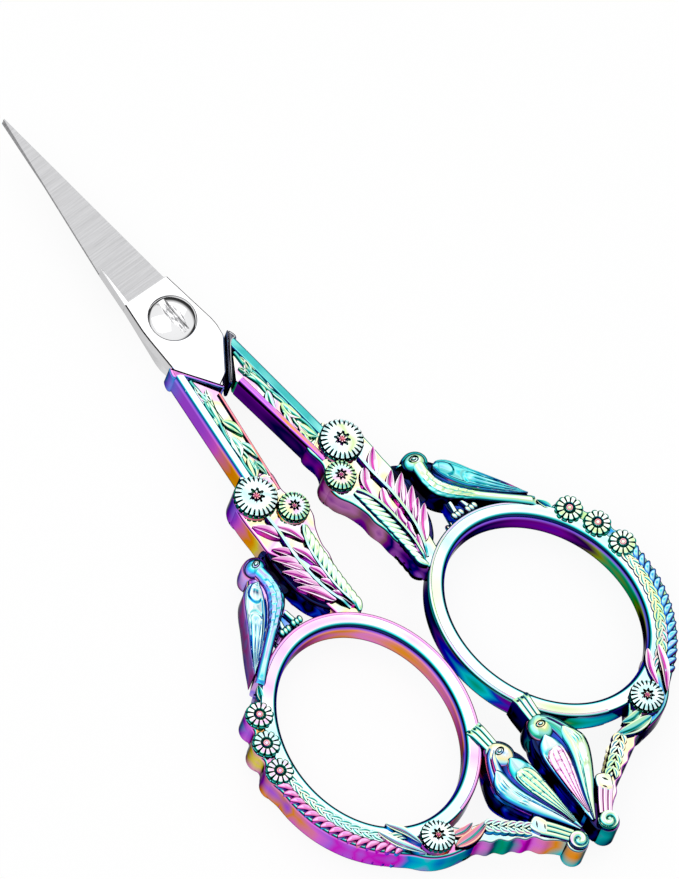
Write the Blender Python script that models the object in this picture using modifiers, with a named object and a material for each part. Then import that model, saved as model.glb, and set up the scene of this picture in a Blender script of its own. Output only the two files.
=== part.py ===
"""Embroidery scissors with cast, ornamented handles, lying closed on their back.

Two ground steel blades turn on a slotted shoulder screw. Each blade's tang sits in a cast handle: a framed
shank, two flowers, two leaves, an oval finger ring with daisies and a fern round it, and two birds.

All sizes are in metres. Shapes are drawn in the pivot frame: the screw's axis is x = y = 0, the tips point
along +Y, and the blades meet at z = 0. Every handle shape is drawn for the left handle and is the same above
and below that plane, so the right handle is the left one turned half round about Y. So are the blades.
"""

import math

import bmesh
import bpy
from mathutils import Matrix, Vector

MM = 0.001
DRAWN = 1.0 * MM  # one unit of the casting's drawn outlines: tables and offsets below are in it

# Blades
BLADE_REACH = 32.0 * MM  # pivot to tip
BLADE_THICKNESS = 1.6 * MM
BLADE_GAP = 0.2 * MM  # between the two inner faces
SPINE_AT_PIVOT = 3.55 * MM  # spine's distance from the pivot line, beside the screw
SPINE_AT_HEEL = 3.95 * MM  # and where the blade is widest, just above the collars
SPINE_AT_GRIND = 2.65 * MM  # and where the ground face starts
EDGE_AT_PIVOT = 4.1 * MM  # cutting side's distance from the pivot line
EDGE_AT_GRIND = 3.0 * MM
GRIND_START = 4.8 * MM  # the ground face runs from here to the tip
GRIND_STRIP = 5.0 * MM  # length of the unground strip beside the cutting edge
GRIND_STRIP_WIDTH = 0.7 * MM
GRIND_SPINE_HEIGHT = 1.3 * MM  # what the grinding leaves of the thickness at the spine
GRIND_EDGE_HEIGHT = 0.3 * MM  # and at the cutting edge
TIP_HEIGHT = 0.5 * MM  # and at the tip
TIP_WIDTH = 0.35 * MM

# Pivot screw
SCREW_HEAD_RADIUS = 3.0 * MM
SCREW_HEAD_RIM = 0.4 * MM
SCREW_HEAD_DOME = 0.5 * MM
SCREW_SLOT_WIDTH = 0.8 * MM
SCREW_SLOT_DEPTH = 0.45 * MM
SCREW_SLOT_TURN = math.radians(-14)
SHOULDER_RADIUS = 1.6 * MM  # turns in the upper blade
THREAD_RADIUS = 1.25 * MM  # held in the lower blade
RUNNING_CLEARANCE = 0.08 * MM
SEAT_GAP = 0.12 * MM  # under the screw's head and round the tangs

# Tang and the collar that takes it
COLLAR_TOP = Vector((-4.35, -4.9)) * MM  # outer end of the collar's slanted face
COLLAR_CROTCH = Vector((-0.35, -10.3)) * MM  # inner end, where the two collars nearly meet
COLLAR_WIDTH = 1.15 * MM
COLLAR_HALF = 2.35 * MM  # half the collar's thickness
COLLAR_OVERHANG = 0.3 * MM  # how far the collar stands out past the shank
CLOSED_GAP = 0.3 * MM  # between each blade and the other handle's collar when shut
HEEL_IN_COLLAR = 0.75 * MM  # how far the blade's full width enters the collar
TANG_LENGTH = 10.0 * MM
TANG_WIDTH = 2.0 * MM
TANG_HEIGHT = 1.3 * MM
TANG_DROP = 0.5 * MM  # the tang is stepped down from the blade, to the handle's middle

# Shank
SHANK_LENGTH = 17.0 * MM  # from its start to the big flower
SHANK_START = 6.6 * MM  # below the pivot
SHANK_HALF = 2.0 * MM
SHANK_OUTER_TOP = 4.72 * MM  # outer side's distance from the middle line, at the collar
SHANK_OUTER_END = 6.55 * MM  # and at the flower
SHANK_INNER_TOP = 0.7 * MM
SHANK_INNER_END = 2.95 * MM
SHANK_ROUNDING = 0.35 * MM
PANEL_DEPTH = 0.35 * MM
PANEL_BORDER = 0.8 * MM

# Finger ring: an oval whose long axis leans outward at the tail
RING_CENTRE = Vector((-13.5, -54.8)) * MM
RING_LONG = 13.3 * MM  # half the opening's length
RING_SHORT = 10.8 * MM  # half its width
RING_LEAN = math.radians(11)
RING_WIDTH = 1.7 * MM
RING_HALF = 1.9 * MM

# Casting between the flowers and the ring
PLATE_HALF = 1.85 * MM
LEAF_EDGE_HALF = 2.15 * MM
LEAF_RIB_HALF = 2.6 * MM

# Flowers: radius and half thickness. The rosettes' flat faces carry the scissors when they lie down.
ROSETTE_HALF = 3.0 * MM
BIG_ROSETTE_RADIUS = 2.7 * MM
SMALL_ROSETTE_RADIUS = 1.9 * MM
CORNER_ROSETTE_RADIUS = 2.2 * MM
ROSETTE_PETALS = 20
DAISY_RADIUS = 1.8 * MM
DAISY_HALF = 2.35 * MM
DAISY_PETALS = 10
DAISY_ANGLES = [65.4, 79.5, 93.6]  # degrees round the ring from its top, outward
DAISY_OUT = 2.2 * MM  # from the opening's edge to the daisies' centres

# Birds. Each station is (share of the length from tail to head, one side, other side, half thickness),
# the last three in drawing units.
BIRD_HALF = 2.85 * MM
PERCHED_HEAD_OUT = 11.35 * MM  # how far outside the ring's opening the perched bird's head lies
PERCHED_HIPS_OUT = [3.6 * MM, 4.7 * MM]  # and the tops of its legs
PERCHED_SHAPE = [
    (0.00, 0.90, 0.90, 0.9),
    (0.14, 0.60, 1.50, 1.2),
    (0.29, 0.63, 2.15, 1.6),
    (0.44, 0.75, 2.75, 2.1),
    (0.58, 0.95, 3.60, 2.6),
    (0.70, 1.10, 3.85, 2.8),
    (0.80, 0.55, 3.45, 2.6),
    (0.89, 0.55, 2.50, 2.3),
    (0.97, 0.80, 1.20, 2.1),
    (1.03, 0.45, 0.85, 1.4),
]
HANGING_SHAPE = [
    (0.00, 0.30, 0.35, 0.9),
    (0.17, 1.65, 0.80, 1.7),
    (0.32, 2.90, 1.10, 2.2),
    (0.49, 3.90, 1.40, 2.6),
    (0.62, 4.35, 1.70, 2.8),
    (0.74, 4.30, 1.85, 2.8),
    (0.85, 3.20, 1.60, 2.5),
    (0.94, 1.95, 1.20, 2.1),
    (1.02, 1.05, 0.85, 1.6),
]

# Tail bracket: a chain of buds from the corner rosette, a fluted stem and a scroll where the handles meet
SCROLL_CENTRE = Vector((-2.2, -80.55)) * MM
SCROLL_RADIUS = 1.35 * MM
SCROLL_HALF = 2.55 * MM
BUD_COUNT = 5
BUD_HALF = 2.2 * MM
BRACKET_HALF = 1.7 * MM
BRACKET_OUT = 5.0 * MM  # how far outside the ring's opening the chain of buds starts

HALF_TURN = math.pi
FLATNESS = math.radians(0.3)  # faces that meet flatter than this count as one
STEEL = (0.78, 0.78, 0.80)
POLISHED = (0.85, 0.85, 0.87)
RAINBOW = (0.42, 0.45, 0.85)


# Plan geometry of the left handle


def flat(x, y):
    """A plan point given in drawing units."""
    return Vector((x, y)) * DRAWN


def ring_point(degrees, out):
    """A point that far outside the finger opening's edge. 0 is the ring's top, 90 its outer side."""
    turn = math.radians(degrees)
    up = Vector((math.sin(RING_LEAN), math.cos(RING_LEAN)))
    side = Vector((-math.cos(RING_LEAN), math.sin(RING_LEAN)))
    return RING_CENTRE + up * (RING_LONG + out) * math.cos(turn) + side * (RING_SHORT + out) * math.sin(turn)


def shank_point(share, across):
    """A point on the shank: share runs from the collar to the flower, across from inner to outer side."""
    inner = SHANK_INNER_TOP + (SHANK_INNER_END - SHANK_INNER_TOP) * share
    outer = SHANK_OUTER_TOP + (SHANK_OUTER_END - SHANK_OUTER_TOP) * share
    return Vector((-(inner + (outer - inner) * across), -(SHANK_START + SHANK_LENGTH * share)))


def spray_point(share, side):
    """A point between the shank's end (share 0) and the ring (share 1), that far to the outward side."""
    start = shank_point(1.0, 0.45)
    end = ring_point(-24, RING_WIDTH / 2)
    along = (end - start).normalized()
    across = Vector((along.y, -along.x))
    return start.lerp(end, share) + across * side


def spray(points):
    """Plan points of the spray from (share, side in drawing units) pairs."""
    return [spray_point(share, side * DRAWN) for share, side in points]


def smooth_path(points, steps):
    """Catmull-Rom curve through plan points, with that many steps between each two."""
    ends = [points[0] * 2 - points[1], *points, points[-1] * 2 - points[-2]]
    path = []
    for a, b, c, d in zip(ends, ends[1:], ends[2:], ends[3:]):
        for k in range(steps):
            t = k / steps
            square, cube = 2 * a - 5 * b + 4 * c - d, 3 * b - a - 3 * c + d
            path.append(0.5 * (2 * b + (c - a) * t + square * t * t + cube * t**3))
    return [*path, points[-1]]


# Solids


def new_object(name, mesh):
    obj = bpy.data.objects.new(name, mesh)
    CONSTRUCTION.objects.link(obj)
    return obj


def mesh_object(name, bm):
    bmesh.ops.recalc_face_normals(bm, faces=bm.faces)
    if bm.calc_volume(signed=True) < 0:
        bmesh.ops.reverse_faces(bm, faces=bm.faces)
    bmesh.ops.triangulate(bm, faces=bm.faces)
    mesh = bpy.data.meshes.new(name)
    bm.to_mesh(mesh)
    bm.free()
    return new_object(name, mesh)


def evaluated_mesh(obj):
    bpy.context.view_layer.update()
    return bpy.data.meshes.new_from_object(obj.evaluated_get(bpy.context.evaluated_depsgraph_get()))


def outline_solid(name, outline, half, bevel=0.0, middle=0.0):
    """A flat outline, half thickness to each side of z = middle, with its long edges bevelled inward."""
    curve = bpy.data.curves.new(name, "CURVE")
    curve.dimensions = "2D"
    curve.fill_mode = "BOTH"
    curve.extrude = half - bevel
    curve.bevel_depth = bevel
    curve.bevel_resolution = 0
    curve.offset = -bevel
    spline = curve.splines.new("POLY")
    spline.points.add(len(outline) - 1)
    for point, place in zip(spline.points, outline):
        point.co = (place.x, place.y, 0, 1)
    spline.use_cyclic_u = True
    source = new_object(name, curve)
    bm = bmesh.new()
    bm.from_mesh(evaluated_mesh(source))
    bpy.data.objects.remove(source)
    bmesh.ops.remove_doubles(bm, verts=bm.verts, dist=0.002 * MM)
    bmesh.ops.translate(bm, verts=bm.verts, vec=(0, 0, middle))
    return mesh_object(name, bm)


def loft(name, sections, closed=False):
    """A solid through rings of points, capped at its ends unless it closes on itself."""
    bm = bmesh.new()
    rings = [[bm.verts.new(point) for point in section] for section in sections]
    pairs = list(zip(rings, rings[1:]))
    if closed:
        pairs.append((rings[-1], rings[0]))
    else:
        bm.faces.new(rings[0][::-1])
        bm.faces.new(rings[-1])
    for a, b in pairs:
        for k in range(len(a)):
            n = (k + 1) % len(a)
            bm.faces.new((a[k], a[n], b[n], b[k]))
    return mesh_object(name, bm)


def pebble(name, centre, along, length, width, half, segments=10, rings=6):
    """A flattened ellipsoid at a plan point, its length along a plan direction, as thick as 2 * half."""
    bm = bmesh.new()
    bmesh.ops.create_uvsphere(bm, u_segments=segments, v_segments=rings, radius=1.0)
    turn = Matrix.Rotation(math.atan2(along.y, along.x), 4, "Z")
    place = Matrix.Translation((centre.x, centre.y, 0))
    bm.transform(place @ turn @ Matrix.Diagonal((length, width, half, 1)))
    return mesh_object(name, bm)


def combine(target, tools, operation):
    """Joins or cuts the target with each tool in turn, and removes the tools."""
    for tool in tools:
        modifier = target.modifiers.new(tool.name, "BOOLEAN")
        modifier.operation = operation
        modifier.solver = "EXACT"
        modifier.object = tool
        result = evaluated_mesh(target)
        target.modifiers.clear()
        bm = bmesh.new()
        bm.from_mesh(result)
        bmesh.ops.remove_doubles(bm, verts=bm.verts, dist=0.001 * MM)
        bmesh.ops.dissolve_limit(bm, angle_limit=FLATNESS, verts=bm.verts, edges=bm.edges)
        bmesh.ops.dissolve_degenerate(bm, edges=bm.edges, dist=0.001 * MM)
        bmesh.ops.triangulate(bm, faces=bm.faces)
        bm.to_mesh(result)
        bm.free()
        target.data = result
        bpy.data.objects.remove(tool)
    return target


def screw_profile(name, profile, segments):
    """A turned solid from a profile of (radius, height) pairs that starts and ends on the axis."""
    mesh = bpy.data.meshes.new(name)
    points = [(radius, 0, height) for radius, height in profile]
    mesh.from_pydata(points, [(k, k + 1) for k in range(len(points) - 1)], [])
    obj = new_object(name, mesh)
    screw = obj.modifiers.new("Turned", "SCREW")
    screw.steps = segments
    screw.render_steps = segments
    screw.use_merge_vertices = True
    screw.merge_threshold = 0.001 * MM
    screw.use_smooth_shade = False
    obj.data = evaluated_mesh(obj)
    obj.modifiers.clear()
    return obj


# Ornaments, each through the whole thickness of the casting


def flower(name, centre, radius, half, petals, notch):
    """A round flower with scalloped petals and a raised heart inside a sunk ring."""
    outline = []
    for k in range(petals * 2):
        turn = math.pi * k / petals
        reach = radius * (1 if k % 2 else 1 - notch)
        outline.append(centre + Vector((math.cos(turn), math.sin(turn))) * reach)
    body = outline_solid(name, outline, half)
    heart, moat = radius * 0.22, radius * 0.42
    floor, crown, above = half - 0.35 * DRAWN, half - 0.05 * DRAWN, half * 2
    profile = [(0, above), (moat, above), (moat, floor), (heart, floor), (heart * 0.7, crown), (0, crown)]
    for side in (1, -1):
        dish = screw_profile("dish", profile, 8)
        face = Matrix.Rotation(HALF_TURN * (side < 0), 4, "X")
        dish.data.transform(Matrix.Translation((centre.x, centre.y, 0)) @ face)
        combine(body, [dish], "DIFFERENCE")
    return body


def feather(name, rib, widths, teeth, lean, edge=LEAF_EDGE_HALF, crest=LEAF_RIB_HALF):
    """A leaf with a raised rib and toothed sides. rib is a smooth plan path from stalk to tip, widths the
    (left, right) half widths there, and lean how far each tooth's tip slants forward, in tooth lengths."""
    total = len(rib) - 1

    def at(share):
        place = min(max(share, 0), 1) * total
        k = min(int(place), total - 1)
        along = (rib[k + 1] - rib[k]).normalized()
        return rib[k].lerp(rib[k + 1], place - k), Vector((-along.y, along.x))

    def swell(share):
        return math.sin(math.pi * (0.12 + 0.8 * share)) ** 0.6

    bm = bmesh.new()
    layers = {}
    for sign in (1, -1):
        heights = [edge, *[crest] * (teeth - 1), edge]
        ribs = [bm.verts.new((*at(k / teeth)[0], sign * height)) for k, height in enumerate(heights)]
        flanks = []
        for hand, width in zip((1, -1), widths):
            row = []
            for k in range(teeth):
                notch, across = at(k / teeth)
                tooth, side = at((k + lean) / teeth)
                inner = width * swell(k / teeth) * (0.6 if k else 0.35) * hand
                outer = width * swell((k + 0.5) / teeth) * hand
                row.append(bm.verts.new((*(notch + across * inner), sign * edge)))
                row.append(bm.verts.new((*(tooth + side * outer), sign * edge)))
            flanks.append(row)
            for k in range(teeth):
                a, b = row[2 * k], row[2 * k + 1]
                c = row[2 * k + 2] if k + 1 < teeth else ribs[-1]
                bm.faces.new((a, b, c))
                bm.faces.new((ribs[k], a, c) if c is ribs[-1] else (ribs[k], a, c, ribs[k + 1]))
        layers[sign] = [ribs[0], *flanks[0], ribs[-1], *flanks[1][::-1]]
    upper, lower = layers[1], layers[-1]
    for k in range(len(upper)):
        n = (k + 1) % len(upper)
        bm.faces.new((upper[k], upper[n], lower[n], lower[k]))
    return mesh_object(name, bm)


def bird(name, tail, heading, shape, beak_to):
    """A bird lying on its side: a body lofted from tail to head, its back to the left, and a beak."""
    along = heading.normalized()
    across = Vector((-along.y, along.x))
    length = heading.length
    sections = []
    for share, one, other, half in shape:
        middle = tail + along * length * share + across * (one - other) / 2 * DRAWN
        reach = (one + other) / 2 * DRAWN
        ring = []
        for k in range(10):
            turn = 2 * math.pi * k / 10
            point = middle + across * math.cos(turn) * reach
            ring.append((*point, math.sin(turn) * half * DRAWN))
        sections.append(ring)
    body = loft(name, sections)
    eye_share, one, other, half = shape[-2]
    face = tail + along * length * eye_share + across * (one - other) / 2 * DRAWN
    ray = (beak_to - face).normalized()
    side = Vector((-ray.y, ray.x))
    beak_sections = []
    for reach, size in ((0.3, 0.75), (1.0, 0.15)):
        middle = face.lerp(beak_to, reach)
        corners = [(1, 0), (0, 1), (-1, 0), (0, -1)]
        beak_sections.append([(*(middle + side * a * size * DRAWN), b * size * DRAWN) for a, b in corners])
    return body, loft(name + "_beak", beak_sections)


def wing(name, shoulder, tip, width):
    """A long oval along the bird's flank, standing proud of both faces."""
    heading = tip - shoulder
    middle = shoulder.lerp(tip, 0.45)
    return pebble(name, middle, heading, heading.length * 0.55, width, BIRD_HALF, 10, 6)


# Parts of the left handle


def collar_frame():
    """Unit vectors along the collar's slanted face, from its outer end, and into the handle."""
    along = (COLLAR_CROTCH - COLLAR_TOP).normalized()
    return along, Vector((along.y, -along.x))


def collar_bar():
    along, inward = collar_frame()
    outer = COLLAR_TOP - along * COLLAR_OVERHANG * 0.4
    outline = [
        outer,
        COLLAR_CROTCH,
        COLLAR_CROTCH + inward * COLLAR_WIDTH,
        COLLAR_TOP + inward * (COLLAR_WIDTH + COLLAR_OVERHANG) - along * COLLAR_OVERHANG * 0.2,
        COLLAR_TOP + inward * COLLAR_WIDTH * 0.8 - along * COLLAR_OVERHANG,
        outer + inward * COLLAR_WIDTH * 0.25 - along * COLLAR_OVERHANG * 0.3,
    ]
    return outline_solid("collar", outline, COLLAR_HALF, 0.3 * DRAWN)


def shank_bar():
    """The framed bar from the collar to the big flower, with a sunk panel on each face."""
    along, inward = collar_frame()
    outline = [
        COLLAR_TOP + inward * COLLAR_WIDTH * 0.5,
        COLLAR_CROTCH + inward * COLLAR_WIDTH * 0.5,
        shank_point(0.3, 0),
        shank_point(1.08, 0),
        shank_point(1.08, 1),
        shank_point(0.08, 1),
    ]
    bar = outline_solid("shank", outline, SHANK_HALF, SHANK_ROUNDING)
    below = inward * (COLLAR_WIDTH + PANEL_BORDER)
    top, crotch = COLLAR_TOP + below, COLLAR_CROTCH + below
    inset = PANEL_BORDER / (SHANK_OUTER_END - SHANK_INNER_END)
    panel = [
        top.lerp(crotch, 0.16),
        top.lerp(crotch, 0.66),
        shank_point(0.35, inset),
        shank_point(0.93, inset),
        shank_point(0.86, 1 - inset),
        shank_point(0.2, 1 - inset),
    ]
    for side in (1, -1):
        cutter = outline_solid("panel", panel, PANEL_DEPTH, 0.0, side * SHANK_HALF)
        combine(bar, [cutter], "DIFFERENCE")
    return bar


def panel_relief():
    """A rosebud, its stem and its leaves, low inside the panel."""
    half = SHANK_HALF - 0.06 * DRAWN
    down = shank_point(1, 0.5) - shank_point(0, 0.5)
    pieces = [pebble("bud", shank_point(0.34, 0.45), down, 2.5 * DRAWN, 1.25 * DRAWN, half, 8, 6)]
    for k, (share, across, turn) in enumerate(((0.56, 0.38, -22), (0.68, 0.62, 22), (0.8, 0.4, -16))):
        heading = Matrix.Rotation(math.radians(turn), 2) @ down
        middle = shank_point(share, across)
        pieces.append(pebble(f"sprig_{k}", middle, heading, 2.0 * DRAWN, 0.8 * DRAWN, half, 6, 4))
    return pieces


def spray_plate():
    """The flat casting under the flowers and leaves, from the shank to the ring."""
    inner = [(-0.09, -1.5), (0.06, -1.7), (0.14, -2.63), (0.21, -3.25), (0.29, -3.2), (0.37, -2.4)]
    inner += [(0.475, -1.95), (0.63, -1.7), (0.79, -1.5), (0.94, -1.4), (1.02, -0.8)]
    outer = [(1.03, 0.9), (0.94, 1.4), (0.85, 2.0), (0.76, 3.3), (0.66, 4.0), (0.5, 4.5), (0.39, 4.6)]
    outer += [(0.34, 4.35), (0.26, 4.45), (0.147, 4.75), (0.01, 4.5), (-0.07, 2.8)]
    return outline_solid("spray_plate", spray(inner + outer), PLATE_HALF, 0.15 * DRAWN)


def finger_ring():
    """The smooth oval band, rounded across."""
    over = [(0, 0.0), (0.22, 0.75), (0.5, 1.0), (0.78, 0.75), (1, 0.0)]
    under = [(out, -height) for out, height in over[3:0:-1]]
    sections = []
    steps = 40
    for k in range(steps):
        degrees = 360 * k / steps
        ring = []
        for out, height in over + under:
            place = ring_point(degrees, RING_WIDTH * out)
            ring.append((place.x, place.y, RING_HALF * height))
        sections.append(ring)
    return loft("ring", sections, closed=True)


def rim_plate():
    """The band outside the ring that carries the daisies, the fern and the corner rosette."""
    outside = [(52, 1.3), (60, 2.4), (75, 2.9), (90, 3.0), (105, 3.1), (120, 3.2), (135, 3.1), (150, 3.1)]
    outside += [(163, 3.4), (170, 3.9), (178, 4.8), (188, 5.4), (197, 5.8), (201, 6.0), (203, 4.6)]
    outside += [(200, 3.0), (198, 1.2)]
    outline = [ring_point(degrees, out * DRAWN) for degrees, out in outside]
    inside = range(190, 50, -14)
    outline += [ring_point(degrees, RING_WIDTH * 0.5) for degrees in inside]
    return outline_solid("rim_plate", outline, PLATE_HALF - 0.05 * DRAWN, 0.12 * DRAWN)


def spray_ornaments():
    middle = spray_point(0.03, 1.98 * DRAWN)
    big = flower("big_rosette", middle, BIG_ROSETTE_RADIUS, ROSETTE_HALF, ROSETTE_PETALS, 0.1)
    middle, half = spray_point(0.197, -1.33 * DRAWN), ROSETTE_HALF - 0.05 * DRAWN
    small = flower("small_rosette", middle, SMALL_ROSETTE_RADIUS, half, ROSETTE_PETALS - 4, 0.12)
    narrow_rib = smooth_path(spray([(0.91, -1.15), (0.77, -0.95), (0.58, -0.6), (0.33, -0.15)]), 3)
    narrow = feather("narrow_leaf", narrow_rib, (0.95 * DRAWN, 1.35 * DRAWN), 8, 1.1)
    broad_rib = smooth_path(spray([(0.17, 2.1), (0.35, 2.15), (0.5, 1.85), (0.66, 1.3), (0.83, 0.6)]), 3)
    edge, crest = LEAF_EDGE_HALF + 0.05 * DRAWN, LEAF_RIB_HALF + 0.07 * DRAWN
    broad = feather("broad_leaf", broad_rib, (1.75 * DRAWN, 2.9 * DRAWN), 5, 1.25, edge, crest)
    return [big, small, narrow, broad]


def rim_ornaments():
    pieces = []
    for k, degrees in enumerate(DAISY_ANGLES):
        centre = ring_point(degrees, DAISY_OUT)
        pieces.append(flower(f"daisy_{k + 1}", centre, DAISY_RADIUS, DAISY_HALF, DAISY_PETALS, 0.2))
    fern_rib = [ring_point(degrees, 1.95 * DRAWN) for degrees in range(164, 100, -4)]
    edge, crest = LEAF_EDGE_HALF - 0.08 * DRAWN, LEAF_RIB_HALF - 0.2 * DRAWN
    pieces.append(feather("fern", fern_rib, (1.05 * DRAWN, 1.5 * DRAWN), 9, 1.1, edge, crest))
    corner, petals = ring_point(180.5, 2.75 * DRAWN), ROSETTE_PETALS - 2
    pieces.append(flower("corner_rosette", corner, CORNER_ROSETTE_RADIUS, ROSETTE_HALF, petals, 0.1))
    before = ((174, 3.2), (168, 3.1), (162, 2.7), (156, 2.2))
    before = [ring_point(degrees, out * DRAWN) for degrees, out in before]
    after = ((186, 3.2), (192, 3.9), (198, 4.6), (204, 5.1))
    after = [ring_point(degrees, out * DRAWN) for degrees, out in after]
    pieces.append(feather("corner_leaf_before", before, (1.1 * DRAWN, 0.8 * DRAWN), 3, 0.8))
    pieces.append(feather("corner_leaf_after", after, (1.2 * DRAWN, 0.9 * DRAWN), 3, 0.8))
    return pieces


def perched_bird():
    """The bird standing on the ring, its tail along the ring and its beak at the spray."""
    tail = ring_point(50, 2.3 * DRAWN)
    head = ring_point(8.5, PERCHED_HEAD_OUT)
    heading = head - tail
    along = heading.normalized()
    across = Vector((-along.y, along.x))
    body, beak = bird("perched_bird", tail, heading, PERCHED_SHAPE, spray_point(0.36, 4.2 * DRAWN))
    shoulder = tail + heading * 0.84 - across * 1.2 * DRAWN
    feathered = wing("perched_wing", shoulder, tail + heading * 0.12 - across * 0.3 * DRAWN, 1.25 * DRAWN)
    legs = []
    for degrees, reach in zip((18, 9.5), PERCHED_HIPS_OUT):
        foot, hip = ring_point(degrees, RING_WIDTH * 0.4), ring_point(degrees, reach)
        leg = hip - foot
        legs.append(pebble("leg", foot.lerp(hip, 0.5), leg, leg.length * 0.6, 0.6 * DRAWN, 1.4 * DRAWN, 6, 4))
    return [body, beak, feathered, *legs]


def hanging_bird():
    """The bird below the ring, its back outward and its tail at the scroll, with the fluted neck above it."""
    tail = SCROLL_CENTRE + flat(1.2, 1.55)
    head = ring_point(240.3, 2.97 * DRAWN)
    heading = head - tail
    along = heading.normalized()
    across = Vector((-along.y, along.x))
    beak_tip = tail + heading * 0.87 - across * 1.95 * DRAWN
    body, beak = bird("hanging_bird", tail, heading, HANGING_SHAPE, beak_tip)
    shoulder = tail + heading * 0.82 + across * 0.6 * DRAWN
    feathered = wing("hanging_wing", shoulder, tail + heading * 0.03, 1.45 * DRAWN)
    neck_top = ring_point(250, RING_WIDTH * 0.5)
    down = (head - neck_top).normalized()
    side = Vector((-down.y, down.x))
    outline = [
        neck_top - down * 0.7 * DRAWN + side * 1.25 * DRAWN,
        neck_top - down * 0.7 * DRAWN - side * 1.25 * DRAWN,
        neck_top + down * 0.4 * DRAWN - side * 1.45 * DRAWN,
        head + down * 0.6 * DRAWN - side * 0.8 * DRAWN,
        head + down * 0.6 * DRAWN + side * 0.8 * DRAWN,
        neck_top + down * 0.4 * DRAWN + side * 1.3 * DRAWN,
    ]
    neck = outline_solid("neck", outline, RING_HALF + 0.25 * DRAWN, 0.2 * DRAWN)
    return [body, beak, feathered, neck]


def tail_bracket():
    """Buds, a bead, a fluted stem and the scroll, from the corner rosette to the middle."""
    start = ring_point(200, BRACKET_OUT)
    knot = SCROLL_CENTRE + flat(-2.9, 3.9)
    heading = knot - start
    side = Vector((-heading.y, heading.x)).normalized()
    stem = SCROLL_CENTRE - knot
    stem_side = Vector((-stem.y, stem.x)).normalized()
    outline = [
        start - side * 1.0 * DRAWN,
        knot - side * 1.0 * DRAWN,
        SCROLL_CENTRE - stem_side * 1.15 * DRAWN,
        SCROLL_CENTRE + stem_side * 1.1 * DRAWN,
        knot + stem_side * 1.2 * DRAWN,
        knot + side * 0.75 * DRAWN,
        start + side * 1.1 * DRAWN,
    ]
    pieces = [outline_solid("bracket", outline, BRACKET_HALF, 0.15 * DRAWN)]
    for k in range(BUD_COUNT):
        centre = start.lerp(knot, (k + 0.5) / BUD_COUNT)
        lean = Matrix.Rotation(math.radians(18 if k % 2 else -18), 2) @ heading
        pieces.append(pebble(f"bud_{k + 1}", centre, lean, 1.35 * DRAWN, 1.1 * DRAWN, BUD_HALF, 8, 4))
    middle, half = knot + side * 0.2 * DRAWN, BUD_HALF + 0.2 * DRAWN
    pieces.append(pebble("bead", middle, side, 1.25 * DRAWN, 0.6 * DRAWN, half, 8, 6))
    steps = 20
    spiral = [SCROLL_CENTRE + flat(0.9, 1.5)]
    for k in range(steps):
        turn = math.radians(70) - 2 * math.pi * k / steps * 0.92
        spiral.append(SCROLL_CENTRE + Vector((math.cos(turn), math.sin(turn))) * SCROLL_RADIUS)
    scroll = outline_solid("scroll", spiral, SCROLL_HALF, 0.15 * DRAWN)
    for face in (1, -1):
        eye = pebble("eye", SCROLL_CENTRE, Vector((1, 0)), 0.65 * DRAWN, 0.65 * DRAWN, 0.4 * DRAWN, 8, 4)
        eye.data.transform(Matrix.Translation((0, 0, face * SCROLL_HALF)))
        combine(scroll, [eye], "DIFFERENCE")
    return [*pieces, scroll]


# Blades, tangs and their sockets


def heel_corner(clearance):
    """Where the blade's cutting side ends inside the collar, or with a clearance the corner of its slot."""
    along, inward = collar_frame()
    base = COLLAR_TOP + inward * (HEEL_IN_COLLAR + clearance)
    return base + along * (-EDGE_AT_PIVOT - clearance - base.x) / along.x


def blade_outline():
    """The upper blade seen from above, tip first, then down the spine and back up the cutting side."""
    along, inward = collar_frame()
    mirrored_top = Vector((-COLLAR_TOP.x, COLLAR_TOP.y))
    mirrored_crotch = Vector((-COLLAR_CROTCH.x, COLLAR_CROTCH.y))
    away = Vector((inward.x, -inward.y)) * CLOSED_GAP
    shoulder, toe = mirrored_top + away, mirrored_crotch + away
    heel = COLLAR_CROTCH + inward * HEEL_IN_COLLAR - along * 0.5 * DRAWN
    return [
        Vector((TIP_WIDTH / 2, BLADE_REACH)),
        Vector((SPINE_AT_GRIND, GRIND_START)),
        Vector((SPINE_AT_GRIND + 0.25 * DRAWN, GRIND_START - 0.1 * DRAWN)),
        Vector((SPINE_AT_PIVOT, 0)),
        Vector((SPINE_AT_HEEL, -BLADE_REACH * 0.1)),
        shoulder.lerp(toe, 0.06),
        toe.lerp(shoulder, 0.17),
        heel,
        heel_corner(0.0),
        Vector((-EDGE_AT_PIVOT, 0)),
        Vector((-EDGE_AT_GRIND - 0.1 * DRAWN, GRIND_START + GRIND_STRIP)),
        Vector((-TIP_WIDTH / 2, BLADE_REACH)),
    ]


def tang_outline(clearance=0.0):
    """The tang inside the shank, with an allowance all round for the socket."""
    along, inward = collar_frame()
    start = COLLAR_TOP.lerp(COLLAR_CROTCH, 0.58) + inward * (0.35 * DRAWN - clearance)
    end_share = (TANG_LENGTH + 3 * DRAWN) / SHANK_LENGTH
    end = shank_point(end_share, 0.5)
    down = (end - start).normalized()
    side = Vector((-down.y, down.x)) * (TANG_WIDTH / 2 + clearance)
    return [start - side, end - side + down * clearance, end + side + down * clearance, start + side]


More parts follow.
